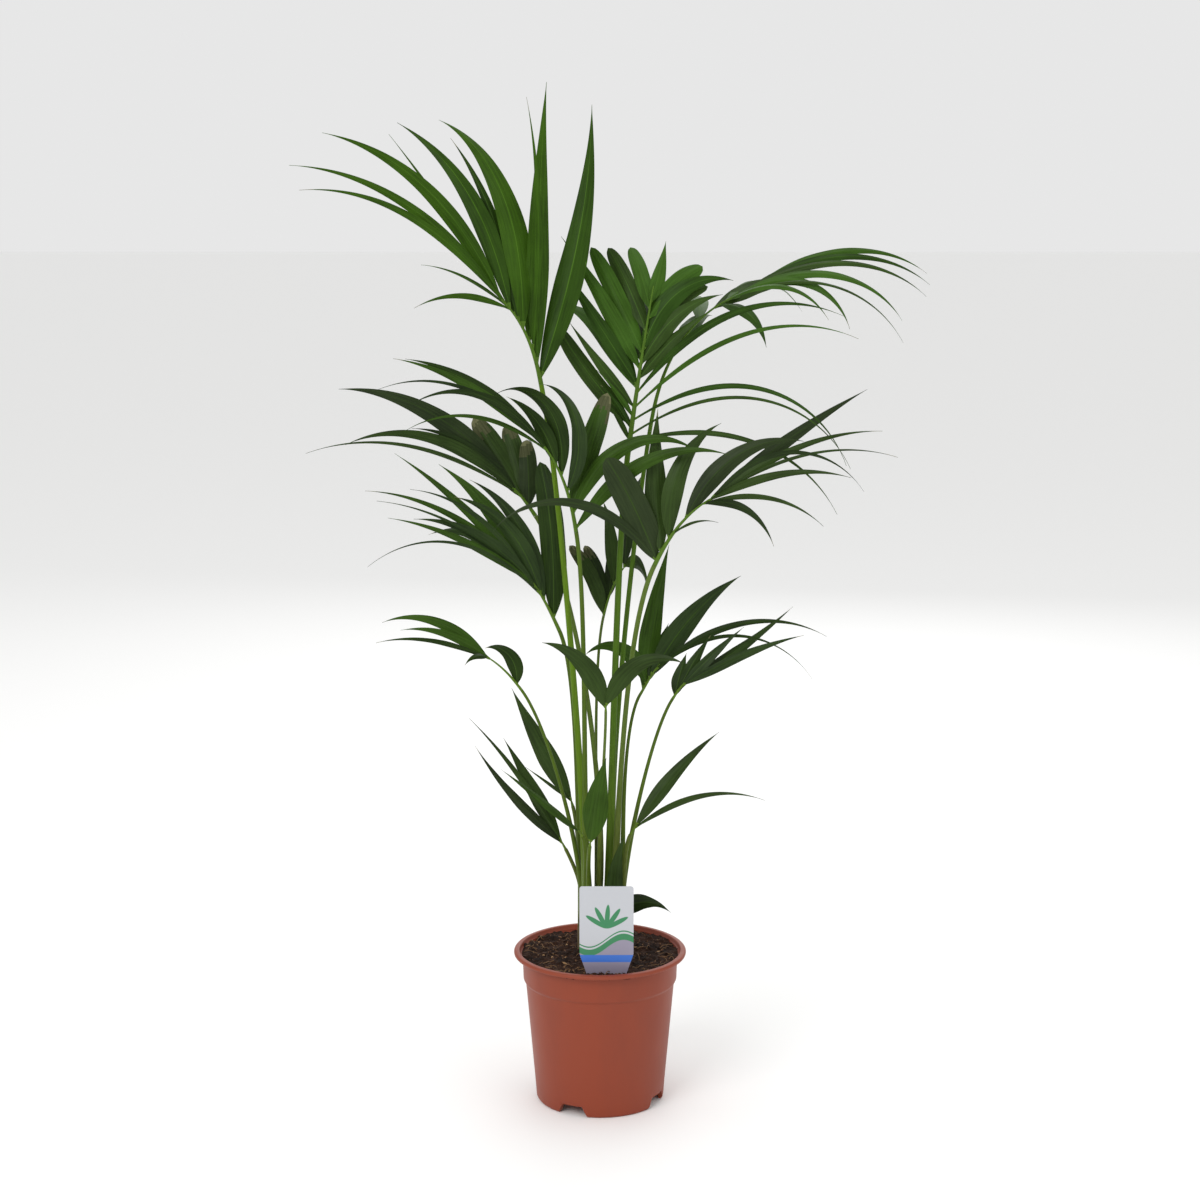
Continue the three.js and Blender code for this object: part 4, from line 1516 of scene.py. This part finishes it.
@dataclass
class PetioleBuilder:
    """Draws one bare stalk from the soil to the frond's crown point.

    Attributes:
        frond: The frond's sizes.
        rows: Points along the free stalk.
        sides: Points around it.
        foot_growth: How much thicker its sheathing base is than the free stalk.
        base_top: Height in millimetres at which that base begins to widen.
        base_foot: Height at which it has its full thickness.
        base_power: How suddenly it gets there.
        buried_rows: Points on its way from the soil to the stem's top.
        buried_step: The last of them below the stem's top, as a share of that way.
        sunk: How far its end is sunk in the soil, in millimetres.
        channel: Depth of its dish as a share of its radius.
    """

    frond: Frond
    rows: int = 56
    sides: int = 14
    foot_growth: float = 1.5
    base_top: float = 400.0
    base_foot: float = 240.0
    base_power: float = 1.5
    buried_rows: int = 8
    buried_step: float = 0.08
    sunk: float = 6.0
    channel: float = 0.22

    def line(self) -> tuple[np.ndarray, np.ndarray]:
        """Points and directions along the stalk.

        From the stem's top to the crown it is the cubic (1-t)³ A + 3t(1-t)² B + 3t²(1-t) C + t³ D,
        whose handles B and C give it its lean at its foot and keep it in line with the rachis
        at its crown. Below the stem's top it straightens up on its way down to the soil: at the
        share u of that way, its slant is the lean's times (1-u)².

        Returns:
            Points and unit directions, each rows by 3.
        """
        frond, stem = self.frond, STEMS[self.frond.stem]
        top = SOIL_LEVEL + SEAT + stem.height + SEAT
        foot = np.array([stem.centre[0] + frond.foot[0], stem.centre[1] + frond.foot[1], top])
        crown = np.array(frond.crown, float)
        heading = direction(frond.rachis.bearing, frond.rachis.rise)
        reach = np.linalg.norm(crown - foot)
        start = np.array([*(frond.lean * (crown - foot)[:2]), reach])
        near = foot + PETIOLE_FOOT_HANDLE * start
        far = crown - heading * PETIOLE_CROWN_HANDLE * reach
        t = np.linspace(0, 1, self.rows)[:, None]
        points = (
            (1 - t) ** 3 * foot + 3 * t * (1 - t) ** 2 * near
            + 3 * t**2 * (1 - t) * far + t**3 * crown
        )
        slope = (
            (1 - t) ** 2 * (near - foot) + 2 * t * (1 - t) * (far - near) + t**2 * (crown - far)
        )
        below = np.linspace(1, self.buried_step, self.buried_rows)[:, None]
        slant = start / reach * np.array([1, 1, 0])
        upright = np.array([0, 0, 1.0])
        length = stem.height + self.sunk
        buried = foot - length * (below * upright + slant * (1 - (1 - below) ** 3) / 3)
        falling = upright + slant * (1 - below) ** 2
        return np.concatenate([buried, points]), unit(np.concatenate([falling, slope]))

    def build(self) -> list[bpy.types.Object]:
        """Makes the stalk's piece, which replaces its solid.

        Returns:
            That piece alone.
        """
        line, tangent = self.line()
        step = np.linalg.norm(np.diff(line, axis=0), axis=1)
        share = np.concatenate([[0], np.cumsum(step)]) / step.sum()
        base = np.clip((self.base_top - line[:, 2]) / (self.base_top - self.base_foot), 0, 1)
        growth = 1 + (self.foot_growth - 1) * base**self.base_power
        radius = np.interp(share, [0, 1], self.frond.radii) * growth
        width = unit(np.cross(tangent, direction(*self.frond.face)))
        upper = np.cross(width, tangent)
        rings = ring_tube(line, width, upper, radius, self.sides, self.channel)
        name, skins = self.frond.name, [PETIOLE_SKINS[self.frond.age]]
        return [make_piece(f"stalk_{name}", loft(rings), skins, f"petiole_{name}")]


# ------------------------------------------------------------------------------ stems


class StemFinish(Enum):
    """The finishes of a stem's faces, in the order of its material slots."""

    GREEN = 0
    DRY = 1


@dataclass
class StemBuilder:
    """Wraps one stem in leaf sheaths round a ribbed core.

    Attributes:
        name: The stem's name.
        size: Its sizes.
        seed: Seed of its small differences.
        wraps: For each sheath, its height as a share of the stem's, its scale, and its finish.
        fray: How far fibres stand out of a green and of a dry sheath's edge, in millimetres.
        wall: Thickness of a sheath in millimetres.
        sunk: How far the stem is sunk in the soil, in millimetres.
        turn: Turn of the first sheath's opening from one seed to the next, in radians.
        ribs: How many ribs stand on a sheath, and their height as a share of its radius.
        core_ribs: The same for the core.
        core_scale: The core's size as a share of the stem's.
        core_end: Where along its length the core begins to draw in.
        dry_rows: How many rows of a sheath's walls are dry, down from its edge.
        around: Points round the stem.
        rows: Points up a wall.
    """

    name: str
    size: StemSize
    seed: int
    wraps: tuple[tuple[float, float, StemFinish], ...] = (
        (0.34, 1.0, StemFinish.DRY),
        (0.62, 0.95, StemFinish.GREEN),
        (0.92, 0.89, StemFinish.GREEN),
    )
    fray: tuple[float, float] = (3.0, 12.0)
    wall: float = 0.7
    sunk: float = 8.0
    turn: float = 0.7
    ribs: tuple[int, float] = (18, 0.02)
    core_ribs: tuple[int, float] = (14, 0.03)
    core_scale: float = 0.8
    core_end: float = 0.75
    dry_rows: int = 3
    around: int = 72
    rows: int = 20

    def halves(self, height: np.ndarray) -> tuple[np.ndarray, np.ndarray]:
        """Half width and half depth, wider towards the foot.

        At the share s of the stem's height the depth swells by w = f + (1 - f) √s, where f is the
        flare, and the width by 0.6 + 0.4 w.

        Args:
            height: Heights above the soil.

        Returns:
            Half widths and half depths.
        """
        share = np.clip(height / self.size.height, 0, 1)
        swell = self.size.flare + (1 - self.size.flare) * np.sqrt(share)
        return self.size.half[0] * (0.6 + 0.4 * swell), self.size.half[1] * swell

    def place(self, scale: np.ndarray, angle: np.ndarray, height: np.ndarray) -> np.ndarray:
        """Points on the stem's ellipse.

        Args:
            scale: Scale of the ellipse at each point.
            angle: Angles round it in radians.
            height: Heights above the soil.

        Returns:
            The points in the plant's frame.
        """
        half_x, half_y = self.halves(height)
        x = self.size.centre[0] + scale * half_x * np.cos(angle)
        y = self.size.centre[1] + scale * half_y * np.sin(angle)
        return np.stack([x, y, SOIL_LEVEL + height], axis=-1)

    def sheath(self, tall: float, scale: float, opening: float, finish: StemFinish) -> Surface:
        """One sheath: a tube whose edge dips in a V on the side where the next leaf left it.

        The edge is at height H (1 - 0.5 ((1 + cos(a - opening)) / 2)²) + f r³, where r is random
        from 0 to 1 and f is the length of its torn fibres. The outer wall runs up to it and the
        inner wall runs down again, the wall's thickness further in, and fine ribs stand along
        both. The rows crowd together towards the edge, where the last few are dry.

        Args:
            tall: Its height as a share of the stem's.
            scale: Its size as a share of the stem's.
            opening: Angle of its V in radians.
            finish: Its finish below the dry edge.

        Returns:
            Its surface.
        """
        rng = np.random.default_rng(self.seed + round(100 * tall))
        angle = np.linspace(0, 2 * np.pi, self.around, endpoint=False)
        dip = 1 - 0.5 * ((1 + np.cos(angle - opening)) / 2) ** 2
        fray = self.fray[finish.value] * rng.random(self.around) ** 3
        edge = tall * self.size.height * dip + fray
        share = np.sin(np.pi / 2 * np.linspace(0, 1, self.rows))[:, None]
        height = (edge + self.sunk) * share - self.sunk
        number, rise = self.ribs
        ribs = 1 + rise * np.cos(number * angle + rng.uniform(0, 6)) * share
        thin = self.wall / self.size.half[0]
        outer = self.place(scale * ribs, angle, height)
        inner = self.place(scale * ribs - thin, angle, height)[::-1]
        rings = np.concatenate([outer, inner])
        paint = np.full((2 * self.rows - 1, self.around), finish.value)
        paint[self.rows - 1 - self.dry_rows:self.rows + self.dry_rows] = StemFinish.DRY.value
        return loft(rings, finish=paint)

    def core(self) -> Surface:
        """The heart of the stem, which draws in to a blunt end at its top.

        It draws in as √(1 - t²), with t running from 0 to 1.

        Returns:
            Its surface.
        """
        angle = np.linspace(0, 2 * np.pi, self.around, endpoint=False)
        share = np.linspace(0, 1, self.rows)[:, None]
        height = (self.size.height + self.sunk) * share - self.sunk
        closing = np.sqrt(1 - np.clip((share - self.core_end) / (1 - self.core_end), 0, 0.999) ** 2)
        number, rise = self.core_ribs
        ribs = 1 + rise * np.cos(number * angle)
        return loft(self.place(self.core_scale * ribs * closing, angle, height + 0 * angle))

    def build(self) -> list[bpy.types.Object]:
        """Makes the stem's piece, which replaces its solid.

        Returns:
            That piece alone.
        """
        parts = [self.core()]
        for number, (tall, scale, finish) in enumerate(self.wraps):
            opening = self.turn * self.seed + number * math.pi
            parts.append(self.sheath(tall, scale, opening, finish))
        finishes = [SHEATH_SKIN, DRY_SHEATH]
        return [make_piece(f"sheaths_{self.name}", join(parts), finishes, self.name, sharp=60)]


# ------------------------------------------------------------------------------ pot and soil


@dataclass
class Pot:
    """The moulded nursery pot: a rolled rim, a collar, a tapering body and a notched foot ring.

    Its sizes are in millimetres and the bearing of its first notch is in degrees. The drain sizes
    are those of the hollow under its floor, within the foot ring.
    """

    height: float = 170.0
    rim_radius: float = 95.0
    rim_thickness: float = 4.0
    collar_radius: float = 85.5
    collar_foot: float = 137.0
    body_radius: float = 82.0
    foot_radius: float = 70.5
    foot_chamfer: float = 2.0
    wall: float = 1.8
    floor: float = 14.5
    drain_inner: float = 40.0
    drain_outer: float = 66.0
    drain_depth: float = 12.5
    notch_count: int = 4
    notch_foot: float = 36.0
    notch_top: float = 24.0
    notch_height: float = 12.0
    notch_bearing: float = -116.0
    columns: int = 720

    def profile(self) -> np.ndarray:
        """The section from the middle of the underside, out, up, over the rim and down inside.

        Returns:
            Radius and height of its points, once each corner (radius, height, rounding) is round.
        """
        rim_foot = self.height - self.rim_thickness
        inner = self.collar_radius - self.wall
        return rounded([
            (0, 0, 0),
            (self.drain_inner - 1, 0, 0.8),  # the flat middle, then the hollow round it
            (self.drain_inner, self.drain_depth, 1),
            (self.drain_outer, self.drain_depth, 1),
            (self.drain_outer, 0, 0.4),  # the foot ring
            (self.foot_radius - self.foot_chamfer, 0, 0.8),
            (self.foot_radius, self.foot_chamfer, 1.6),
            (self.foot_radius + 1.6, 22, 6),  # up the body
            (self.body_radius - 0.4, self.collar_foot - 7, 4),
            (self.body_radius, self.collar_foot - 3, 1),
            (self.collar_radius - 1, self.collar_foot, 1.4),  # up the collar
            (self.collar_radius, rim_foot - 3, 3),
            (self.collar_radius + 0.8, rim_foot, 1.2),  # out and over the rim
            (self.rim_radius - 0.4, rim_foot - 0.6, 0.9),
            (self.rim_radius, rim_foot + 1.6, 1),
            (self.rim_radius - 0.9, self.height - 0.5, 1.4),
            (inner + 5.2, self.height, 1.2),
            (inner + 4, self.height - 3.2, 1.2),  # down the inside
            (inner, self.height - 9, 3),
            (inner - 1, self.collar_foot, 1),
            (self.body_radius - self.wall, self.collar_foot - 4, 1),
            (self.foot_radius - self.wall, self.floor, 1),
            (0, self.floor, 0),
        ])

    def lift(self, bearing: np.ndarray) -> np.ndarray:
        """Height of the notches: 0 between them, with sloping sides.

        Args:
            bearing: Bearings in radians.

        Returns:
            Heights in millimetres.
        """
        first = math.radians(self.notch_bearing)
        turn = 2 * np.pi / self.notch_count
        away = np.abs((bearing - first + turn / 2) % turn - turn / 2) * self.foot_radius
        slope = (self.notch_foot / 2 - away) / ((self.notch_foot - self.notch_top) / 2)
        return self.notch_height * np.clip(slope, 0, 1)

    def surface(self) -> Surface:
        """Turns the section round, with the foot ring raised to the notches' height in them.

        Returns:
            The pot's surface.
        """
        profile = self.profile()
        bearing = np.linspace(0, 2 * np.pi, self.columns, endpoint=False)
        radius = np.broadcast_to(profile[:, :1], (len(profile), self.columns)).copy()
        height = np.broadcast_to(profile[:, 1:], radius.shape).copy()
        ring = (radius > self.drain_outer - 0.5) & (height < self.notch_height)
        height = np.where(ring, np.maximum(height, self.lift(bearing)), height)
        return revolve(radius, height)

    def build(self) -> list[bpy.types.Object]:
        """Makes the pot's piece, which replaces its solid."""
        return [make_piece("nursery_pot", self.surface(), [POT_PLASTIC], "pot", sharp=35)]


@dataclass
class Soil:
    """Peat in the pot, with bark and fibres strewn over it.

    Attributes:
        pot: The pot that it fills.
        level: Height of its middle in millimetres.
        edge_level: Height of its edge.
        flat_radius: How far from the axis it is level.
        spread: How far its edge stands out past the collar's inner wall, under the pot's lip.
        relief: Spacing and height of its clods, crumbs and grains.
        seed: Seed of everything random in it.
        rings: Rings of points on its top.
        columns: Points on a ring.
        chips: How many bark chips.
        chip_kinds: Shares of dark, brown and pale chips.
        fibres: How many fibres.
        fibre_rows: Points along a fibre.
    """

    pot: Pot
    level: float = SOIL_LEVEL
    edge_level: float = 165.0
    flat_radius: float = 46.0
    spread: float = 3.2
    relief: tuple[tuple[float, float], ...] = ((26, 1.5), (11, 1.2), (5, 1.3), (2.6, 1.2))
    seed: int = 7
    rings: int = 120
    columns: int = 360
    chips: int = 900
    chip_kinds: tuple[float, ...] = (0.66, 0.26, 0.08)
    fibres: int = 60
    fibre_rows: int = 8

    def top(self, x: np.ndarray, y: np.ndarray) -> np.ndarray:
        """Height of the surface: a low mound with clods, crumbs and grains of falling size.

        Args:
            x: Places along X.
            y: Places along Y.

        Returns:
            Heights in millimetres.
        """
        radius = np.hypot(x, y)
        edge = self.inner_radius()
        fall = np.clip((radius - self.flat_radius) / (edge - self.flat_radius), 0, 1)
        mound = self.level + (self.edge_level - self.level) * fall
        relief = sum(
            size * lattice_noise(x, y, cell, self.seed + number)
            for number, (cell, size) in enumerate(self.relief)
        )
        return mound + relief

    def inner_radius(self) -> float:
        """Radius of the soil's edge, where it leans on the flare under the pot's lip."""
        return self.pot.collar_radius - self.pot.wall + self.spread

    def bed(self) -> Surface:
        """The body of peat: up from the floor along the pot's wall, then in over its rough top.

        Returns:
            Its surface.
        """
        pot, edge = self.pot, self.inner_radius()
        bearing = np.linspace(0, 2 * np.pi, self.columns, endpoint=False)
        radius = np.linspace(0, edge, self.rings)[::-1, None] + 0 * bearing
        x, y = radius * np.cos(bearing), radius * np.sin(bearing)
        height = self.top(x, y)
        inside = np.array([  # radius and height, a little inside the wall
            (0, pot.floor + SEAT),
            (pot.foot_radius - pot.wall - 0.6, pot.floor + SEAT),
            (pot.body_radius - pot.wall - 0.6, pot.collar_foot - 4.5),
            (edge - 4.6, pot.collar_foot),
            (edge - 3.8, pot.height - 10),
        ])
        shape = (len(inside), self.columns)
        low_radius = np.broadcast_to(inside[:, :1], shape)
        low_height = np.broadcast_to(inside[:, 1:], shape)
        radius, height = np.vstack([low_radius, radius]), np.vstack([low_height, height])
        return revolve(radius, height)

    def scatter(self, rng: np.random.Generator, count: int) -> tuple[np.ndarray, ...]:
        """Random places on the surface, even over its area, with their heights.

        Args:
            rng: Source of the random places.
            count: How many.

        Returns:
            x, y and z.
        """
        radius = (self.inner_radius() - 3) * np.sqrt(rng.uniform(0.02, 1, count))
        bearing = rng.uniform(0, 2 * np.pi, count)
        x, y = radius * np.cos(bearing), radius * np.sin(bearing)
        return x, y, self.top(x, y)

    def chip_surface(self) -> Surface:
        """Bark chips: flat six-sided slabs of random size that lie at small tilts.

        A slab is 1.4 mm long and more, 4.3 mm on average. Its width is 0.18 to 0.55 of its length
        and its thickness 0.28 of its width, up to 1.6 mm. A ring of six points at radii of 0.65
        to 1 is stretched to that size, and three such rings, the middle one widest, are skinned.

        Returns:
            All chips in one surface.
        """
        rng = np.random.default_rng(self.seed + 20)
        x, y, z = self.scatter(rng, self.chips)
        length = rng.gamma(2.4, 1.2, self.chips) + 1.4
        width = length * rng.uniform(0.18, 0.55, self.chips)
        tall = np.minimum(0.28 * width, 1.6)
        angle = np.linspace(0, 2 * np.pi, 6, endpoint=False)
        ragged = rng.uniform(0.65, 1, (self.chips, 1, 6))
        shrink = np.array([0.72, 1.0, 0.8])[:, None]
        layer = np.array([-0.5, 0.1, 0.5])[:, None]
        flat = np.stack([
            ragged * shrink * np.cos(angle) * length[:, None, None] / 2,
            ragged * shrink * np.sin(angle) * width[:, None, None] / 2,
            layer * tall[:, None, None] + 0 * angle,
        ], axis=-1)
        bearing = rng.uniform(0, 2 * np.pi, self.chips)
        tilt = rng.normal(0, 0.35, self.chips)
        rings = self.turned(flat, bearing, tilt) + np.stack([x, y, z + 0.3], axis=-1)[:, None, None]
        kinds = rng.choice(len(self.chip_kinds), self.chips, p=self.chip_kinds)
        return join([loft(chip, finish=kind) for chip, kind in zip(rings, kinds)])

    @staticmethod
    def turned(points: np.ndarray, bearing: np.ndarray, tilt: np.ndarray) -> np.ndarray:
        """Tilts each group of points about Y, then turns it about Z.

        Args:
            points: Groups of points, n by rings by points by 3.
            bearing: Turn of each group about Z, in radians.
            tilt: Tilt of each group about Y, in radians.

        Returns:
            The turned points.
        """
        cos_t, sin_t = np.cos(tilt)[:, None, None], np.sin(tilt)[:, None, None]
        cos_b, sin_b = np.cos(bearing)[:, None, None], np.sin(bearing)[:, None, None]
        x = points[..., 0] * cos_t + points[..., 2] * sin_t
        z = points[..., 2] * cos_t - points[..., 0] * sin_t
        y = points[..., 1]
        return np.stack([x * cos_b - y * sin_b, x * sin_b + y * cos_b, z], axis=-1)

    def fibre_surface(self) -> Surface:
        """Coir fibres: thin threads that arch a little over the soil, 4 to 18 mm long.

        A thread is (L (u - 1/2), b u (1 - u), h) with u from 0 to 1, turned to a random bearing and
        kept inside the pot, where L is its length, b is its sideways bow and h is the soil's
        height there plus 0.5 + 1.8 sin(πu) millimetres.

        Returns:
            All fibres in one surface.
        """
        rng = np.random.default_rng(self.seed + 40)
        x, y, _ = self.scatter(rng, self.fibres)
        bearing = rng.uniform(0, 2 * np.pi, self.fibres)[:, None]
        length = rng.uniform(4, 18, self.fibres)[:, None]
        bow = rng.normal(0, 5, self.fibres)[:, None]
        u = np.linspace(0, 1, self.fibre_rows)
        run, side = length * (u - 0.5), bow * u * (1 - u)
        line_x = x[:, None] + run * np.cos(bearing) - side * np.sin(bearing)
        line_y = y[:, None] + run * np.sin(bearing) + side * np.cos(bearing)
        far = np.hypot(line_x, line_y) / (self.inner_radius() - 2)
        line_x, line_y = line_x / np.maximum(far, 1), line_y / np.maximum(far, 1)
        line_z = self.top(line_x, line_y) + 0.5 + 1.8 * np.sin(np.pi * u)
        line = np.stack([line_x, line_y, line_z], axis=-1)
        tangent = unit(np.gradient(line, axis=1))
        width = unit(np.cross(tangent, [0, 0, 1.0]))
        upper = np.cross(width, tangent)
        radius = rng.uniform(0.22, 0.5, self.fibres)[:, None] + 0 * u
        threads = zip(line, width, upper, radius)
        return join([loft(ring_tube(*thread, sides=5, channel=0)) for thread in threads])

    def build(self) -> list[bpy.types.Object]:
        """Makes the bed, which replaces the soil's solid, and what is strewn on it.

        Returns:
            The bed, the chips and the fibres.
        """
        return [
            make_piece("potting_soil", self.bed(), [PEAT], "soil", sharp=180),
            make_piece("bark_chips", self.chip_surface(), BARKS, sharp=30),
            make_piece("coir_fibres", self.fibre_surface(), [COIR]),
        ]


@dataclass
class CareLabel:
    """The printed label on its stake, bowed a little as such cards are. Sizes are in millimetres."""

    width: float = 58.0
    stake_width: float = 22.0
    thickness: float = 0.8
    foot: float = 133.0
    shoulder: float = 186.0
    top: float = 261.0
    corner: float = 3.0
    centre: tuple[float, float] = (7.0, -67.0)
    bow: float = 1.6
    rows: int = 90
    corner_rows: int = 9
    columns: int = 25

    def half_width(self, height: np.ndarray) -> np.ndarray:
        """Half width at heights: the stake, its slope to the shoulder, and the round corners.

        Within the corner's radius R of the top it is W - R + √(R² - d²), where d is the height
        above the corner's centre.

        Args:
            height: Heights in millimetres.

        Returns:
            Half widths.
        """
        ends = [self.stake_width / 2, self.width / 2]
        half = np.interp(height, [self.foot, self.shoulder], ends)
        above = np.clip(height - (self.top - self.corner), 0, self.corner)
        return half - self.corner + np.sqrt(np.maximum(self.corner**2 - above**2, 0.01))

    def surface(self) -> Surface:
        """The card: each ring runs across its front and back across its rear face.

        The card stands at y = centre + bow ((2 s - 1)² - 1/2), where s is the share of its
        height, so its ends lean back and its middle comes forward.

        Returns:
            Its surface, with uv = (distance from its middle line, height above its foot).
        """
        turn = np.linspace(0, np.pi / 2, self.corner_rows)
        crown = self.top - self.corner * (1 - np.cos(turn))[::-1]
        height = np.concatenate([np.linspace(self.foot, crown[0], self.rows)[:-1], crown])
        half = self.half_width(height)[:, None]
        front = np.linspace(-1, 1, self.columns)
        x = np.concatenate([front, front[::-1]]) * half
        side = np.repeat([-0.5, 0.5], self.columns) * self.thickness
        share = ((height - self.foot) / (self.top - self.foot))[:, None]
        y = self.centre[1] + side + self.bow * ((2 * share - 1) ** 2 - 0.5) + 0 * x
        rings = np.stack([self.centre[0] + x, y, height[:, None] + 0 * x], axis=-1)
        uv = np.stack([x, (height - self.foot)[:, None] + 0 * x], axis=-1)
        return loft(rings, uv)

    def build(self) -> list[bpy.types.Object]:
        """Makes the label's piece, which replaces its solid."""
        return [make_piece("care_card", self.surface(), [CARD], "care_label")]


# ------------------------------------------------------------------------------ studio


@dataclass(frozen=True)
class AreaLight:
    """A soft box: its place, what it looks at, its width in metres and its power in watts."""

    name: str
    place: tuple[float, float, float]
    aim: tuple[float, float, float]
    size: float
    power: float


@dataclass
class Studio:
    """The floor, the light and the camera.

    Attributes:
        distance: How far the camera stands from the plant's axis, in metres.
        eye: The camera's height.
        pitch: How far it looks down, in degrees.
        focal: Focal length in millimetres on a sensor of the width below.
        sensor: Sensor width in millimetres.
        sight: How far it sees, in metres.
        floor_half: Half the width of the floor.
        room_light: Strength of the pale light from all around.
        lights: The soft boxes.
    """

    distance: float = 2.5
    eye: float = 1.008
    pitch: float = 10.15
    focal: float = 70.86
    sensor: float = 36.0
    sight: float = 200.0
    floor_half: float = 30.0
    room_light: float = 0.8
    lights: tuple[AreaLight, ...] = (
        AreaLight("key_light", (-1.5, -2.3, 2.3), (0, 0, 0.6), 1.6, 40.0),
        AreaLight("fill_light", (2.1, -2.0, 1.3), (0, 0, 0.55), 2.2, 8.0),
        AreaLight("top_light", (0.1, 0.5, 2.9), (0, 0, 0.6), 2.0, 10.0),
        AreaLight("back_light", (0.4, 2.6, 1.7), (0, 0, 0.6), 2.0, 12.0),
    )

    def camera(self) -> None:
        """Sets the camera in front of the plant, a little above its middle, looking down."""
        lens = bpy.data.cameras.new("camera")
        lens.lens, lens.sensor_width, lens.clip_end = self.focal, self.sensor, self.sight
        camera = bpy.data.objects.new("camera", lens)
        camera.location = (0, -self.distance, self.eye)
        camera.rotation_euler = (math.radians(90 - self.pitch), 0, 0)
        bpy.context.collection.objects.link(camera)
        bpy.context.scene.camera = camera

    def light(self) -> None:
        """Hangs the soft boxes and fills the room with pale light."""
        for one in self.lights:
            lamp = bpy.data.lights.new(one.name, "AREA")
            lamp.size, lamp.energy = one.size, one.power
            box = bpy.data.objects.new(one.name, lamp)
            box.location = one.place
            aim = Vector(one.aim) - Vector(one.place)
            box.rotation_euler = aim.to_track_quat("-Z", "Y").to_euler()
            bpy.context.collection.objects.link(box)
        world = bpy.data.worlds.new("room")
        world.use_nodes = True
        sky = world.node_tree.nodes["Background"]
        sky.inputs["Color"].default_value = (1, 1, 1, 1)
        sky.inputs["Strength"].default_value = self.room_light
        bpy.context.scene.world = world

    def floor(self) -> None:
        """Lays a plain pale floor just under the pot."""
        half = self.floor_half
        corners = [(-half, -half, 0), (half, -half, 0), (half, half, 0), (-half, half, 0)]
        mesh = bpy.data.meshes.new("floor")
        mesh.from_pydata(corners, [], [(0, 1, 2, 3)])
        mesh.materials.append(PAPER.material())
        floor = bpy.data.objects.new("floor", mesh)
        bpy.context.collection.objects.link(floor)

    def build(self) -> None:
        """Sets up the whole studio."""
        self.camera()
        self.light()
        self.floor()
        bpy.context.scene.view_settings.view_transform = "Standard"


# ------------------------------------------------------------------------------ the whole


class Builder(Protocol):
    """Anything that builds pieces."""

    def build(self) -> list[bpy.types.Object]:
        """Makes its pieces."""


def builders() -> list[Builder]:
    """The builders of all pieces: the pot and what stands in it, the stems, then each frond.

    Returns:
        The builders in the order of their work.
    """
    pot = Pot()
    parts: list[Builder] = [pot, Soil(pot), CareLabel()]
    for number, (name, size) in enumerate(STEMS.items()):
        parts.append(StemBuilder(name, size, seed=100 + number))
    for number, frond in enumerate(FRONDS):
        parts += [PetioleBuilder(frond), FrondBuilder(frond, seed=200 + number)]
    return parts


def main() -> None:
    """Loads the solids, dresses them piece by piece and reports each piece."""
    logging.basicConfig(level=logging.INFO, format="%(name)s: %(message)s")
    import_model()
    Studio().build()
    for builder in builders():
        for piece in builder.build():
            LOG.info("%s: %d faces", piece.name, len(piece.data.polygons))


if __name__ == "__main__":
    main()
